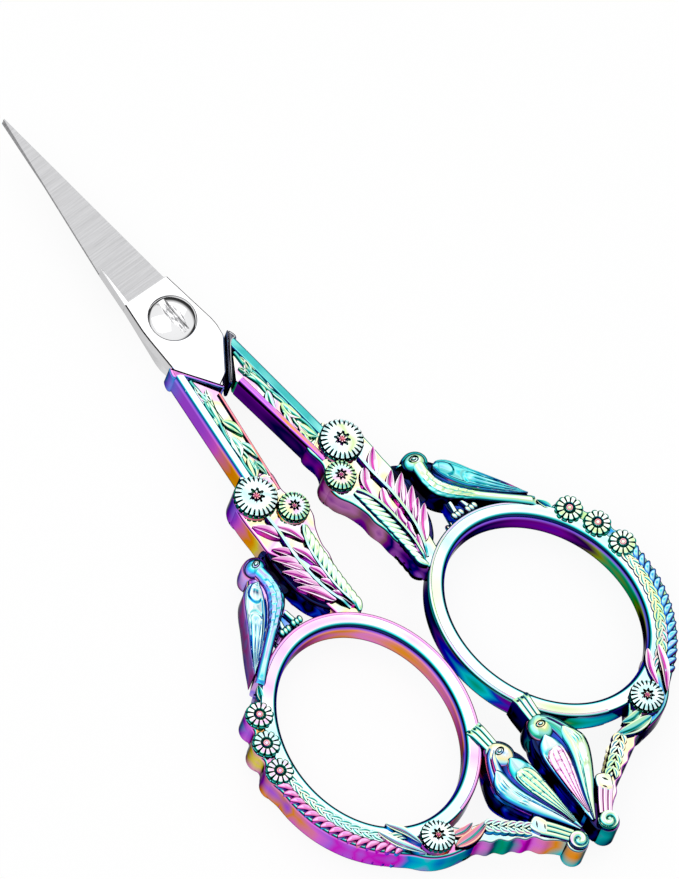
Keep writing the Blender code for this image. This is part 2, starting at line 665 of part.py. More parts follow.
def grind_cutter():
    """What the grinding wheel takes away: all above a plane that falls to the cutting edge and the tip."""
    inner = BLADE_GAP / 2
    strip_top = GRIND_START + GRIND_STRIP
    edge = EDGE_AT_GRIND + 0.1 * DRAWN
    outline = [
        Vector((-edge + GRIND_STRIP_WIDTH, GRIND_START)),
        Vector((EDGE_AT_PIVOT * 2, GRIND_START)),
        Vector((EDGE_AT_PIVOT * 2, BLADE_REACH * 1.2)),
        Vector((-EDGE_AT_PIVOT * 2, BLADE_REACH * 1.2)),
        Vector((-EDGE_AT_PIVOT * 2, strip_top)),
        Vector((-edge, strip_top)),
    ]
    a = Vector((SPINE_AT_GRIND, GRIND_START, inner + GRIND_SPINE_HEIGHT))
    b = Vector((-EDGE_AT_GRIND, GRIND_START, inner + GRIND_EDGE_HEIGHT))
    c = Vector((0, BLADE_REACH, inner + TIP_HEIGHT))
    normal = (b - a).cross(c - a).normalized()
    bm = bmesh.new()
    low, high = [], []
    for place in outline:
        floor = a.z - (normal.x * (place.x - a.x) + normal.y * (place.y - a.y)) / normal.z
        low.append(bm.verts.new((place.x, place.y, floor)))
        high.append(bm.verts.new((place.x, place.y, BLADE_THICKNESS * 4)))
    bm.faces.new(low[::-1])
    bm.faces.new(high)
    for k in range(len(low)):
        n = (k + 1) % len(low)
        bm.faces.new((low[k], low[n], high[n], high[k]))
    return mesh_object("grind", bm)


def make_blade(name, hole_radius):
    """The upper blade with its tang, its face ground, and its pivot hole."""
    middle = (BLADE_GAP + BLADE_THICKNESS) / 2
    blade = outline_solid(name, blade_outline(), BLADE_THICKNESS / 2, 0.0, middle)
    tang = outline_solid("tang", tang_outline(), TANG_HEIGHT / 2, 0.0, middle - TANG_DROP)
    combine(blade, [tang], "UNION")
    high, low = BLADE_THICKNESS * 3, -BLADE_THICKNESS
    hole = screw_profile("hole", [(0, high), (hole_radius, high), (hole_radius, low), (0, low)], 40)
    return combine(blade, [grind_cutter(), hole], "DIFFERENCE")


def socket_cutters():
    """The room in the left handle for the upper blade's heel and tang."""
    middle = (BLADE_GAP + BLADE_THICKNESS) / 2
    along, inward = collar_frame()
    corner = heel_corner(SEAT_GAP)
    outside = -inward * COLLAR_WIDTH * 4
    end = COLLAR_CROTCH + inward * (HEEL_IN_COLLAR + SEAT_GAP) + along * COLLAR_WIDTH
    heel = [corner, end, end + outside, Vector((corner.x, (corner + outside).y))]
    slot = outline_solid("heel_slot", heel, BLADE_THICKNESS / 2 + SEAT_GAP, 0.0, middle)
    room, height = tang_outline(SEAT_GAP), TANG_HEIGHT / 2 + SEAT_GAP
    return [slot, outline_solid("tang_hole", room, height, 0.0, middle - TANG_DROP)]


def make_handle(name):
    """The left handle's casting, with its socket open at the collar's slanted face."""
    casting = spray_plate()
    pieces = [shank_bar(), *panel_relief(), collar_bar(), finger_ring(), rim_plate()]
    pieces += [*spray_ornaments(), *rim_ornaments(), *perched_bird(), *hanging_bird(), *tail_bracket()]
    combine(casting, pieces, "UNION")
    combine(casting, socket_cutters(), "DIFFERENCE")
    casting.name = name
    return casting


def make_screw():
    """Slotted head, a shoulder the upper blade turns on, and the threaded end in the lower blade."""
    face = BLADE_GAP / 2 + BLADE_THICKNESS
    head_low = face + SEAT_GAP
    rim = head_low + SCREW_HEAD_RIM
    profile = [(0, rim + SCREW_HEAD_DOME)]
    for k in range(1, 5):
        share = k / 5
        profile.append((SCREW_HEAD_RADIUS * share, rim + SCREW_HEAD_DOME * math.sqrt(1 - share**2)))
    profile += [
        (SCREW_HEAD_RADIUS, rim),
        (SCREW_HEAD_RADIUS, head_low),
        (SHOULDER_RADIUS, head_low),
        (SHOULDER_RADIUS, 0),
        (THREAD_RADIUS, 0),
        (THREAD_RADIUS, -face),
        (0, -face),
    ]
    screw = screw_profile("pivot_screw", profile, 40)
    top = rim + SCREW_HEAD_DOME
    reach = SCREW_HEAD_RADIUS * 1.2
    turn = Matrix.Rotation(SCREW_SLOT_TURN, 2)
    width = SCREW_SLOT_WIDTH / 2
    corners = [Vector(p) for p in ((-width, -reach), (width, -reach), (width, reach), (-width, reach))]
    slot = outline_solid("slot", [turn @ corner for corner in corners], SCREW_SLOT_DEPTH, 0.0, top)
    return combine(screw, [slot], "DIFFERENCE")


# Assembly


def material(name, colour, roughness):
    made = bpy.data.materials.new(name)
    made.use_nodes = True
    shader = made.node_tree.nodes["Principled BSDF"]
    shader.inputs["Base Color"].default_value = (*colour, 1)
    shader.inputs["Metallic"].default_value = 1.0
    shader.inputs["Roughness"].default_value = roughness
    return made


def place(obj, pivot, surface, turned=False):
    """Hands a finished piece to the model: on the pivot, turned half round about Y if it is the lower one."""
    CONSTRUCTION.objects.unlink(obj)
    SCISSORS.objects.link(obj)
    obj.parent = pivot
    obj.rotation_euler = (0, HALF_TURN if turned else 0, 0)
    obj.data.materials.clear()
    obj.data.materials.append(surface)
    obj.data.shade_smooth()
    obj.data.set_sharp_from_angle(angle=math.radians(30))


for old in list(bpy.data.objects):
    bpy.data.objects.remove(old)
SCISSORS = bpy.data.collections.new("embroidery_scissors")
CONSTRUCTION = bpy.data.collections.new("construction")
for collection in (SCISSORS, CONSTRUCTION):
    bpy.context.scene.collection.children.link(collection)

tail_reach = -SCROLL_CENTRE.y + SCROLL_RADIUS
pivot_frame = bpy.data.objects.new("pivot_frame", None)
pivot_frame.location = (0, (tail_reach - BLADE_REACH) / 2, ROSETTE_HALF)
SCISSORS.objects.link(pivot_frame)

satin_steel = material("satin_steel", STEEL, 0.28)
polished_steel = material("polished_steel", POLISHED, 0.08)
rainbow_coat = material("rainbow_coat", RAINBOW, 0.15)

place(make_blade("upper_blade", SHOULDER_RADIUS + RUNNING_CLEARANCE), pivot_frame, satin_steel)
place(make_blade("lower_blade", THREAD_RADIUS + RUNNING_CLEARANCE), pivot_frame, satin_steel, turned=True)
place(make_screw(), pivot_frame, polished_steel)
left_handle = make_handle("left_handle")
place(left_handle, pivot_frame, rainbow_coat)
right_handle = new_object("right_handle", left_handle.data)
place(right_handle, pivot_frame, rainbow_coat, turned=True)
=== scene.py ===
"""Looks of the embroidery scissors: polished and ground steel blades, rainbow-plated cast handles."""

import math

import bmesh
import bpy
import numpy as np
from mathutils import Matrix, Vector


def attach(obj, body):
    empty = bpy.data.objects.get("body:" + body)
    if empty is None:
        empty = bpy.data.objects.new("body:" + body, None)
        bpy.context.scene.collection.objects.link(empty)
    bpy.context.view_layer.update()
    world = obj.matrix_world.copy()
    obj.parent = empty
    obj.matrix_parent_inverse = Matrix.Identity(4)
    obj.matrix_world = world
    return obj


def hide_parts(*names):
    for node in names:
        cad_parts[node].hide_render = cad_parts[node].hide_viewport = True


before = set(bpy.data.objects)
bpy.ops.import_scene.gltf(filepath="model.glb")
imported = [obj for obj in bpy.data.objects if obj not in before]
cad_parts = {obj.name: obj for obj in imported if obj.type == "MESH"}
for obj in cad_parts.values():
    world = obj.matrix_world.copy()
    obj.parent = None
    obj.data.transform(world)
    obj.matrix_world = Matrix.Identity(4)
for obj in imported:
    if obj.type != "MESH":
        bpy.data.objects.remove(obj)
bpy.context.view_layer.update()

MM = 0.001
PIVOT = Vector((0.0, 24.95, 3.0))  # the pivot frame's origin, in millimetres of the row frame


# Plan geometry in the pivot frame, in millimetres, all for the left handle


def P(u, v):
    """A plan point u below the pivot and v to the right of it."""
    return np.array((v, -u), float)


def plan(*numbers):
    """Plan points from u, v, u, v and so on."""
    u, v = np.array(numbers, float).reshape(-1, 2).T
    return np.column_stack((v, -u))


RING_CENTRE = P(54.8, -13.5)
RING_LONG, RING_SHORT, RING_WIDTH = 13.3, 10.8, 1.7
RING_LEAN = math.radians(11)
SHANK_TOP, SHANK_LENGTH = 6.6, 17.0
FLOWER, SMALL_FLOWER, CORNER = P(24.0, -6.6), P(27.55, -3.6), P(70.55, -16.1)
DAISY_ANGLES, DAISY_OUT = (65.4, 79.5, 93.6), 2.15
RAIL_WIDTH, RIGHT_RAIL_WIDTH = 0.62, 1.05  # the two handles' inner rails
RIM_TOP = 2.0  # the borders' height above the middle plane
PLATE_TOP, PLATE_LOW = 1.85, -2.3  # the plates that the ornaments stand on
LEAF_LOW = 1.9  # where the big leaves' edges lie


def ring_at(degrees, out):
    """A point outside the finger hole's edge, degrees round from its top."""
    turn = math.radians(degrees)
    up = np.array((math.sin(RING_LEAN), math.cos(RING_LEAN)))
    side = np.array((-math.cos(RING_LEAN), math.sin(RING_LEAN)))
    return RING_CENTRE + up * (RING_LONG + out) * math.cos(turn) + side * (RING_SHORT + out) * math.sin(turn)


def shank_at(share, across):
    """A point that share of the way down the shank and across from its inner edge to its outer one."""
    inner, outer = 0.7 + 2.25 * share, 4.72 + 1.83 * share
    return np.array((-(inner + (outer - inner) * across), -(SHANK_TOP + SHANK_LENGTH * share)))


def spray_at(share, side):
    """A point that share of the way from the shank's end to the ring, and side millimetres beside that line."""
    start, end = shank_at(1.0, 0.45), ring_at(-24, 0.85)
    along = (end - start) / np.linalg.norm(end - start)
    return start + (end - start) * share + np.array((along[1], -along[0])) * side


def smooth(points, steps=8, closed=False):
    """Catmull-Rom curve through the points."""
    points = np.asarray(points, float)
    if closed:
        ends = np.vstack((points[-1:], points, points[:2]))
    else:
        ends = np.vstack((points[:1] * 2 - points[1:2], points, points[-1:] * 2 - points[-2:-1]))
    t = (np.arange(steps) / steps)[:, None]
    path = []
    for a, b, c, d in zip(ends, ends[1:], ends[2:], ends[3:]):
        square, cube = 2 * a - 5 * b + 4 * c - d, 3 * b - a - 3 * c + d
        path.append(0.5 * (2 * b + (c - a) * t + square * t * t + cube * t**3))
    path = np.vstack(path)
    return path if closed else np.vstack((path, points[-1:]))


def even(path, n, closed=False):
    """n + 1 points equally far apart along a path, or n round a closed one."""
    if closed:
        path = np.vstack((path, path[:1]))
    step = np.linalg.norm(np.diff(path, axis=0), axis=1)
    reach = np.concatenate(((0,), np.cumsum(step)))
    wanted = np.linspace(0, reach[-1], n + 1)
    out = np.stack([np.interp(wanted, reach, path[:, k]) for k in range(path.shape[1])], 1)
    return out[:-1] if closed else out


def sides(path, closed=False):
    """Unit normals to the left of a plan path."""
    if closed:
        along = np.roll(path, -1, 0) - np.roll(path, 1, 0)
    else:
        along = np.gradient(path, axis=0)
    along = along / np.maximum(np.linalg.norm(along, axis=1, keepdims=True), 1e-9)
    return np.stack((-along[:, 1], along[:, 0]), 1)


def anticlockwise(outline):
    x, y = outline.T
    return outline[::-1] if np.sum(x * np.roll(y, -1) - np.roll(x, -1) * y) < 0 else outline


# Height patterns


def ease(x, low, high):
    """A smooth step from 0 at low to 1 at high."""
    x = np.clip((x - low) / (high - low), 0, 1)
    return x * x * (3 - 2 * x)


def arch(t, power=0.5):
    return np.maximum(1 - t * t, 0) ** power


def lobe(phase, sharp=0.5):
    """Rounded ridges, one to each whole number, with sharp grooves between."""
    return arch(2 * (phase - np.floor(phase)) - 1, sharp)


def groove(x, width):
    return np.exp(-((x / width) ** 2))


def feathers(s, t, rows, columns):
    """Overlapping rounded tongues in staggered columns."""
    place = (t + 1) / 2 * columns
    column = np.floor(np.minimum(place, columns - 1e-6))
    row = s * rows + 0.5 * (column % 2)
    return arch(2 * (place - column) - 1, 0.4) * (1 - (row - np.floor(row)))


# Solids. Each is (points, faces), the same above and below the middle plane z = 0.


def wrap(a, b):
    """Four-sided faces between rows of points that close round."""
    return np.stack((a, b, np.roll(b, -1, 1), np.roll(a, -1, 1)), -1).reshape(-1, 4)


def rounds(rows, n, last=False):
    """Faces over rows of n points round point 0 and, with last, down to one more point."""
    k = 1 + np.arange(rows * n).reshape(rows, n)
    faces = [wrap(k[:-1], k[1:]), np.stack((np.zeros(n, int), k[0], np.roll(k[0], -1)), 1)]
    return faces + [np.stack((np.full(n, rows * n + 1), np.roll(k[-1], -1), k[-1]), 1)] * last


def tower(rings):
    """Outlines of equally many points, one above the other, with walls between and a cap at each end."""
    n, top = len(rings[0]), len(rings) - 1
    ids = np.arange(n)
    nxt = np.roll(ids, -1)
    faces = [np.stack((ids, nxt, nxt + n, ids + n), 1) + k * n for k in range(top)]
    return np.vstack(rings), faces + [[ids[::-1].tolist(), (ids + top * n).tolist()]]


def close(top, faces, edge, seat=None):
    """Closes a relief: to its mirror image or, with a seat, to a flat base on each side of the casting."""
    n = len(top)
    if seat is None:
        nxt = np.roll(edge, -1)
        walls = np.stack((nxt, edge, edge + n, nxt + n), 1)
        return np.vstack((top, top * (1, 1, -1))), faces + [block[:, ::-1] + n for block in faces] + [walls]
    k = np.arange(len(edge))
    nxt = np.roll(k, -1)
    points = np.vstack((top, top[edge] * (1, 1, 0) + (0, 0, seat)))
    walls = np.stack((edge[nxt], edge, n + k, n + nxt), 1)
    one = [block.tolist() for block in faces + [walls]] + [[(n + k[::-1]).tolist()]]
    count = len(points)
    two = [[[i + count for i in face[::-1]] for face in block] for block in one]
    return np.vstack((points, points * (1, 1, -1))), one + two


def skin(xy, z, seat=None):
    """A relief over a grid of plan points."""
    ns, nt = z.shape
    k = np.arange(ns * nt).reshape(ns, nt)
    quads = np.stack((k[:-1, :-1], k[1:, :-1], k[1:, 1:], k[:-1, 1:]), -1).reshape(-1, 4)
    edge = np.concatenate((k[:, 0], k[-1, 1:], k[::-1, -1][1:], k[0, ::-1][1:-1]))
    return close(np.dstack((xy, z)).reshape(-1, 3), [quads], edge, seat)


def grid(ns, nt):
    return np.linspace(0, 1, ns + 1)[:, None], np.linspace(-1, 1, nt + 1)[None, :]


def patch(rib, reach, height, ns=48, nt=14, seat=None):
    """A relief to both sides of a rib. reach and height take s along the rib and t from -1 to 1."""
    centre = even(smooth(rib, 10), ns)
    s, t = grid(ns, nt)
    xy = centre[:, None] + sides(centre)[:, None] * (t * reach(s, t))[..., None]
    return skin(xy, height(s, t) + 0 * (s + t), seat)


def between(one, two, height, ns=60, nt=24, seat=None):
    """A relief between two plan lines, s along them and t from -1 on the first to 1 on the second."""
    a, b = even(smooth(one, 10), ns), even(smooth(two, 10), ns)
    s, t = grid(ns, nt)
    share = (t + 1) / 2
    xy = a[:, None] * (1 - share)[..., None] + b[:, None] * share[..., None]
    return skin(xy, height(s, t) + 0 * (s + t), seat)


def polar(centre, reach, height, nr=18, na=96, seat=None, squeeze=1.0, lean=0.0):
    """A round relief: reach gives the rim's radius for an angle, height takes (share of it, angle)."""
    angle = (np.arange(na) / na * 2 * np.pi)[None, :]
    share = (np.arange(1, nr + 1) / nr)[:, None]
    radius = share * reach(angle)
    x, y = radius * np.cos(angle), radius * np.sin(angle) * squeeze
    x, y = x * math.cos(lean) - y * math.sin(lean), x * math.sin(lean) + y * math.cos(lean)
    z = height(share, angle) + 0 * radius
    middle = float(np.mean(height(np.array([[0.0]]), angle)))
    rings = np.dstack((x + centre[0], y + centre[1], z)).reshape(-1, 3)
    edge = 1 + np.arange((nr - 1) * na, nr * na)
    return close(np.vstack(((centre[0], centre[1], middle), rings)), rounds(nr, na), edge, seat)


def prism(outline, half, rounding=0.2, steps=3, low=None, drop=None):
    """A plate with rounded edges, from -half or low up to half. drop makes the rounding that much taller."""
    outline = anticlockwise(np.asarray(outline, float))
    inward = sides(outline, closed=True)
    drop = rounding if drop is None else drop
    bottom = -half if low is None else low
    turns = [math.pi / 2 * k / steps for k in range(steps + 1)]
    profile = [(0.0, drop + 0.05)] + [(rounding * (1 - math.cos(a)), drop * (1 - math.sin(a))) for a in turns]
    profile.append((rounding + 0.04, 0.0))
    levels = [(inset, bottom + fall) for inset, fall in profile[::-1]]
    levels += [(inset, half - fall) for inset, fall in profile]
    return tower([np.column_stack((outline + inward * inset, np.full(len(outline), z))) for inset, z in levels])


def slab(outline, n, *shape, fine=6):
    """A prism on a smoothed outline of n points."""
    return prism(even(smooth(outline, fine, True), n, True), *shape)


def oval(width, height, n):
    turn = np.arange(n) / n * 2 * np.pi
    return np.stack((np.cos(turn) * width, np.sin(turn) * height), 1)


def disc(centre, radius, half, rounding, low):
    return prism(oval(radius, radius, 72) + centre, half, rounding, 4, low)


def sweep(path, section, closed=False, size=None):
    """A section of (across, up) points carried along a plan path, with its size at each of the path's points."""
    section = np.asarray(section, float)
    size = np.ones(len(path)) if size is None else size
    rings = np.zeros((len(path), len(section), 3))
    rings[:, :, :2] = path[:, None] + sides(path, closed)[:, None] * section[None, :, :1] * size[:, None, None]
    rings[:, :, 2] = section[None, :, 1] * size[:, None]
    k = np.arange(len(path) * len(section)).reshape(len(path), -1)
    faces = [wrap(k, np.roll(k, -1, 0)) if closed else wrap(k[:-1], k[1:])]
    if not closed:
        faces.append([k[0].tolist(), k[-1][::-1].tolist()])
    return rings.reshape(-1, 3), faces


def tube(points, width, height, n, taper=(1, 1), around=12):
    """An oval rod along a plan line. taper gives its size from end to end."""
    path = even(smooth(points, 10), n)
    size = np.interp(np.linspace(0, 1, len(path)), np.linspace(0, 1, len(taper)), taper)
    return sweep(path, oval(width, height, around), False, size)


def both(maker, z):
    """Two copies of a solid, that far above and below the middle plane."""
    points, faces = maker
    return [(points + (0, 0, z), faces), (points * (1, 1, -1) - (0, 0, z), faces)]


# Ornaments

SEAT = 1.3  # where an ornament's own walls end, inside the plate it stands on


def bowed(base, tip, bend):
    """A rib from base to tip whose middle is pushed aside by a share of its length."""
    way = tip - base
    return [base, (base + tip) / 2 + np.array((-way[1], way[0])) * bend, tip]


def leaflet(base, tip, width, low, high, bend=0.0, fold=0.25, ns=20, nt=20, seat=SEAT):
    """A pointed leaf folded along its middle, with a raised rim."""
    def reach(s, t):
        return width * np.sin(np.pi * np.clip(s, 0, 1) ** 0.75) ** 0.75 + 0.02

    def height(s, t):
        t = np.abs(t)
        swell = np.sin(np.pi * (0.12 + 0.72 * s)) ** 0.5
        valley = fold * (1 - np.clip(t / 0.66, 0, 1)) + 0.08 * groove(t, 0.1)
        return low + (high - low) * swell * ease(t, 1.02, 0.8) - valley * np.sin(np.pi * np.clip(s, 0, 1)) ** 0.5

    return patch(bowed(base, tip, bend), reach, height, ns, nt, seat)


def barb(base, tip, width, low, high, bend, ns, nt, seat=SEAT, power=0.5):
    """A rounded, slightly bent lobe."""
    def reach(s, t):
        return width * np.sin(np.pi * (0.06 + 0.9 * s)) ** 0.6

    def height(s, t):
        return low + (high - low) * arch(t, power) * np.sin(np.pi * (0.08 + 0.86 * s)) ** 0.5

    return patch(bowed(base, tip, bend), reach, height, ns, nt, seat)


def low_leaf(base, tip, width, low, high, bend, vein):
    """A flat little leaf in low relief, with a vein."""
    def reach(s, t):
        return width * np.sin(np.pi * np.clip(s, 0, 1) ** 0.8) ** 0.8 + 0.02

    def height(s, t):
        return low + (high - low) * ease(np.abs(t), 1.02, 0.7) - vein * groove(np.abs(t), 0.14) * np.sin(np.pi * s)

    return patch(bowed(base, tip, bend), reach, height, 18, 18, SEAT)


def each(maker, rows, *shape, **more):
    """One ornament for each row of base u and v, tip u and v, and width."""
    return [maker(P(a, b), P(c, d), width, *shape, **more) for a, b, c, d, width in rows]


def rosette(centre, radius, half, notches, start, star, turn=0.0):
    """A flat flower with a rim of rounded lobes and a sunk star."""
    def wave(a):
        return np.abs(np.sin(notches * a / 2 + turn))

    def height(r, a):
        d = r * radius
        z = half - 0.22 * ease(d, start, radius) - 0.25 * ease(r, 0.94, 1.0)
        z = z - 0.5 * groove(wave(a), 0.3) * ease(d, start - 0.1, start + 0.3)
        edge = star * (0.8 + 0.2 * np.cos(8 * a))
        return z - 0.5 * (1 - ease(d, edge - 0.06, edge + 0.06))

    return polar(centre, lambda a: radius * (1 - 0.05 * (1 - wave(a)) ** 2), height, 34, notches * 14, half - 0.95)


def star_heart(centre, size, z):
    """The little raised blossom in a flower's star."""
    def petal(a):
        return np.abs(np.cos(3.5 * a))

    def height(r, a):
        notch = 0.2 * (1 - petal(a)) ** 2 * ease(r, 0.3, 0.5)
        return z - 0.3 + 0.28 * ease(r, 1.0, 0.7) - notch - 0.16 * groove(r, 0.3)

    return polar(centre, lambda a: size * (0.8 + 0.2 * petal(a)), height, 14, 84, SEAT)


def daisy(centre, radius, half, petals, turn):
    """A flower of rounded petals round a ring-like button."""
    def wave(a):
        return np.abs(np.cos(petals * a / 2 + turn))

    def height(r, a):
        d = r * radius
        z = half - 0.36 * groove(wave(a), 0.26) * ease(d, 0.62, 0.8) - 0.26 * ease(r, 0.86, 1.0)
        return z - 0.3 * groove(d - 0.6, 0.1)

    return polar(centre, lambda a: radius * (0.86 + 0.14 * wave(a) ** 0.5), height, 28, petals * 16, half - 0.6)


def button(centre, size, z):
    def height(r, a):
        return z + 0.08 * groove(r - 0.62, 0.22) - 0.22 * ease(r, 0.8, 1.0) - 0.14 * groove(r, 0.3)

    return polar(centre, lambda a: size + 0 * a, height, 12, 36, SEAT)


def eye(centre, size, z, lean):
    """An oval eye: a rim, a moat and a pupil."""
    def height(r, a):
        return z - 0.26 * groove(r - 0.6, 0.17) - 0.3 * ease(r, 0.9, 1.0) + 0.04 * (1 - ease(r, 0.1, 0.4))

    return polar(centre, lambda a: size + 0 * a, height, 14, 36, SEAT, 0.68, lean)


def dome(centre, radius, low, high, lean, power):
    def height(r, a):
        return low + (high - low) * arch(r, power)

    return polar(centre, lambda a: radius + 0 * a, height, 16, 56, None, 0.88, lean)


def pebble(centre, along, length, width, half):
    """A flattened ellipsoid with its length along a plan direction."""
    n, rows = 16, 10
    along = np.asarray(along, float) / np.linalg.norm(along)
    side = np.array((-along[1], along[0]))
    lat = np.linspace(0, np.pi, rows + 1)[1:-1, None]
    lon = (np.arange(n) / n * 2 * np.pi)[None, :]
    far, wide, tall = np.cos(lat) + 0 * lon, np.sin(lat) * np.cos(lon), np.sin(lat) * np.sin(lon)
    xy = centre + along * (far * length)[..., None] + side * (wide * width)[..., None]
    tips = [(*(centre + along * length * k), 0.0) for k in (1, -1)]
    return np.vstack((tips[0], np.dstack((xy, tall * half)).reshape(-1, 3), tips[1])), rounds(rows - 1, n, True)


# Left handle, piece by piece


def rail(points, width, slope_left, slope_right, z=RIM_TOP):
    """A border strip with a flat crown, sloping shoulders and straight walls below them."""
    half, low, turns = width / 2, 1.25, (0.35, 0.7, 1.05, 1.3, 1.5)
    top = [(-half, low - 0.08), (-half, low)]
    top += [(-half + slope_left * (1 - math.cos(a)), low + (z - low) * math.sin(a)) for a in turns]
    top += [(-half + slope_left + 0.05, z), (half - slope_right - 0.05, z)]
    top += [(half - slope_right * (1 - math.cos(a)), low + (z - low) * math.sin(a)) for a in turns[::-1]]
    top += [(half, low), (half, low - 0.08)]
    return sweep(even(np.asarray(points, float), 30), top + [(x, -y) for x, y in reversed(top)])


def shank():
    core = [P(7.2, -4.5), P(7.9, -3.0), P(10.6, -1.3), shank_at(0.3, 0.05), shank_at(0.7, 0.04)]
    core += [shank_at(1.08, 0.04), shank_at(1.08, 0.96), shank_at(0.55, 0.96)]
    return [prism(core, 1.6, 0.05, 1),
            rail(plan(20.9, -6.4, 21.5, -5.4, 22.3, -4.2, 22.8, -3.2), 0.5, 0.15, 0.15, 1.95),
            rail(plan(8.3, -4.7, 9.3, -3.6, 10.6, -2.6), 0.45, 0.15, 0.15, 1.95),
            prism(plan(21.3, -6.4, 22.8, -3.4, 24.6, -3.3, 24.6, -6.6), 1.93, 0.05, 1)]


def outer_rail():
    return [rail([shank_at(k, 1.0) + (0.68, 0) for k in (-0.03, 0.4, 0.8, 1.06)], 1.36, 0.42, 0.34, 2.05)]


def inner_rail(width=RAIL_WIDTH):
    return [rail([shank_at(k, 0.0) - (width / 2, 0) for k in (0.25, 0.5, 0.8, 1.06)], width, 0.3, 0.36 * width)]


def shank_relief():
    fan = [(10.9, -3.9, 8.6, -4.4, 0.42), (10.9, -3.4, 8.5, -3.5, 0.5), (11.1, -3.0, 9.5, -2.5, 0.42)]
    sprigs = [(13.8, -3.5, 16.7, -2.6, 0.7), (16.0, -3.9, 18.9, -4.6, 0.85), (17.2, -3.5, 20.0, -2.95, 0.62),
              (19.3, -3.9, 22.0, -4.8, 0.8), (20.0, -3.7, 22.3, -3.4, 0.6)]
    buds = [barb(P(10.4, -3.6), P(14.2, -4.4), 0.5, 1.5, 2.02, 0.12, 20, 14),
            barb(P(10.5, -3.2), P(14.4, -3.9), 0.46, 1.5, 2.12, 0.0, 20, 14),
            barb(P(10.6, -2.7), P(14.1, -3.3), 0.42, 1.5, 2.02, -0.12, 20, 14)]
    stem = plan(13, -4.2, 14.6, -3.9, 16, -4.2, 17.6, -4, 19, -3.8, 20.5, -4, 21.6, -4.1)
    return each(low_leaf, fan + sprigs, 1.5, 1.98, 0.08, 0.16) + buds + both(tube(stem, 0.2, 0.25, 60), 1.66)


def panel_edge():
    """The wavy border between the panel and the outer rail."""
    path = [shank_at(k, 0.61 + 0.03 * math.sin(26 * k)) for k in np.linspace(0.06, 1.0, 40)]
    return both(tube(path, 0.26, 0.3, 120), 1.66)


def collar():
    """The ridge that seats the blade, turned round the shank's outer corner."""
    outline = plan(5.0, -4.3, 6.0, -3.55, 7.3, -2.6, 8.7, -1.55, 10.0, -0.62, 10.45, -0.38, 10.65, -0.65, 10.35, -1,
                   9.1, -1.95, 7.8, -2.92, 6.75, -3.75, 6.4, -4.2, 6.4, -4.65, 6.1, -4.85, 5.6, -4.8, 5.05, -4.55)
    return [slab(outline, 220, 2.08, 0.26, 4, None, 0.3, fine=8)]


def spray_plate():
    edge = [(-0.09, -1.5), (0.06, -1.7), (0.14, -2.63), (0.21, -3.25), (0.29, -3.2), (0.37, -2.5), (0.475, -2.05),
            (0.55, -2.1), (0.63, -1.82), (0.71, -1.86), (0.79, -1.6), (0.87, -1.65), (0.94, -1.4), (0.99, -0.8),
            (0.99, 0.9), (0.94, 1.4), (0.88, 1.7), (0.82, 2.0), (0.75, 2.2), (0.69, 2.3), (0.6, 2.6), (0.5, 3.0),
            (0.42, 3.8), (0.36, 4.5), (0.26, 4.6), (0.147, 4.75), (0.06, 4.75), (0.01, 4.5), (-0.03, 3.5),
            (-0.07, 2.6)]
    return [slab([spray_at(share, side) for share, side in edge], 260, PLATE_TOP, 0.32, 4, PLATE_LOW, 0.45)]


def slot():
    """The deep slot behind the perched bird and the leaf's flank above it, both plated black as painted shade: the
    web is a dark sheet put where the slot lies in shade.
    """
    flank = plan(30.2, -7.6, 30, -9.6, 31.2, -10.1, 33.4, -10.2, 35.4, -10.1, 36.6, -9.9, 38.2, -9.4, 39.8, -8.4,
                 40.6, -7.2, 39, -7, 35, -7.2)
    web = plan(29.6, -9.3, 30.3, -11.2, 32.6, -11.5, 34.7, -11.7, 35.3, -10.2, 33, -8.8)
    return [slab(flank, 120, 1.72, 0.35, 4, -2.2, 0.9), slab(web, 80, 0.9, 0.1, 2)]


def broad_leaf():
    """Pointed leaflets on both sides of a rib."""
    outer = [(29.9, -7.1, 26.7, -9.3, 0.72), (32.9, -7.2, 30.3, -9.2, 0.6), (34.6, -7.3, 31.3, -10.0, 0.76),
             (35.7, -7.3, 32.5, -9.4, 0.6), (37.0, -7.3, 33.3, -10.0, 0.76), (38.0, -7.2, 34.9, -9.6, 0.6),
             (39.8, -6.9, 35.9, -9.8, 0.8)]
    inner = [(28.2, -6.9, 31.6, -5.2, 0.7), (31.5, -6.9, 35.2, -5.9, 0.62), (34.6, -6.8, 37.3, -6.15, 0.44),
             (36.6, -6.7, 39.3, -6.0, 0.46), (38.6, -6.6, 41.6, -5.5, 0.5)]
    return (each(leaflet, outer, LEAF_LOW, 2.5, -0.06, 0.24, seat=1.0)
            + each(leaflet, inner, LEAF_LOW, 2.42, 0.1, 0.2))


def leaf_ribs():
    rib = plan(26.8, -7.05, 29, -7.1, 31, -7.3, 33, -7.45, 36, -7.35, 38.5, -6.95, 41.5, -5.95)
    back = plan(30, -4.1, 31, -4.75, 33, -5.45, 36, -5.75, 39, -5.75, 42.1, -5.25)

    def height(s, t):
        return 2.15 + 0.45 * ease(np.abs(t), 1.02, 0.62) - 0.55 * ease(s, 0.9, 1.0)

    return [patch(path, lambda s, t: width - 0.06 * s, height, 60, 12, SEAT)
            for path, width in ((rib, 0.27), (back, 0.22))]


def narrow_leaf():
    """Slanting lobes like the strands of a cord."""
    solids = []
    for k in range(12):
        u = 31.2 + k * 0.93
        left = -5.15 - 0.45 * math.sin(math.pi * min(1, (k + 2) / 14))
        right = -3.75 - 0.09 * k
        solids.append(barb(P(u + 1.0, left), P(u - 1.15, right), 0.47, 2.0, 2.38, -0.1, 18, 16, SEAT, 0.3))
    return solids


def flowers():
    return [rosette(FLOWER, 2.7, 2.99, 24, 1.9, 1.0)]


def small_flowers():
    return [rosette(SMALL_FLOWER, 1.95, 2.95, 20, 1.2, 0.72, 0.4)]


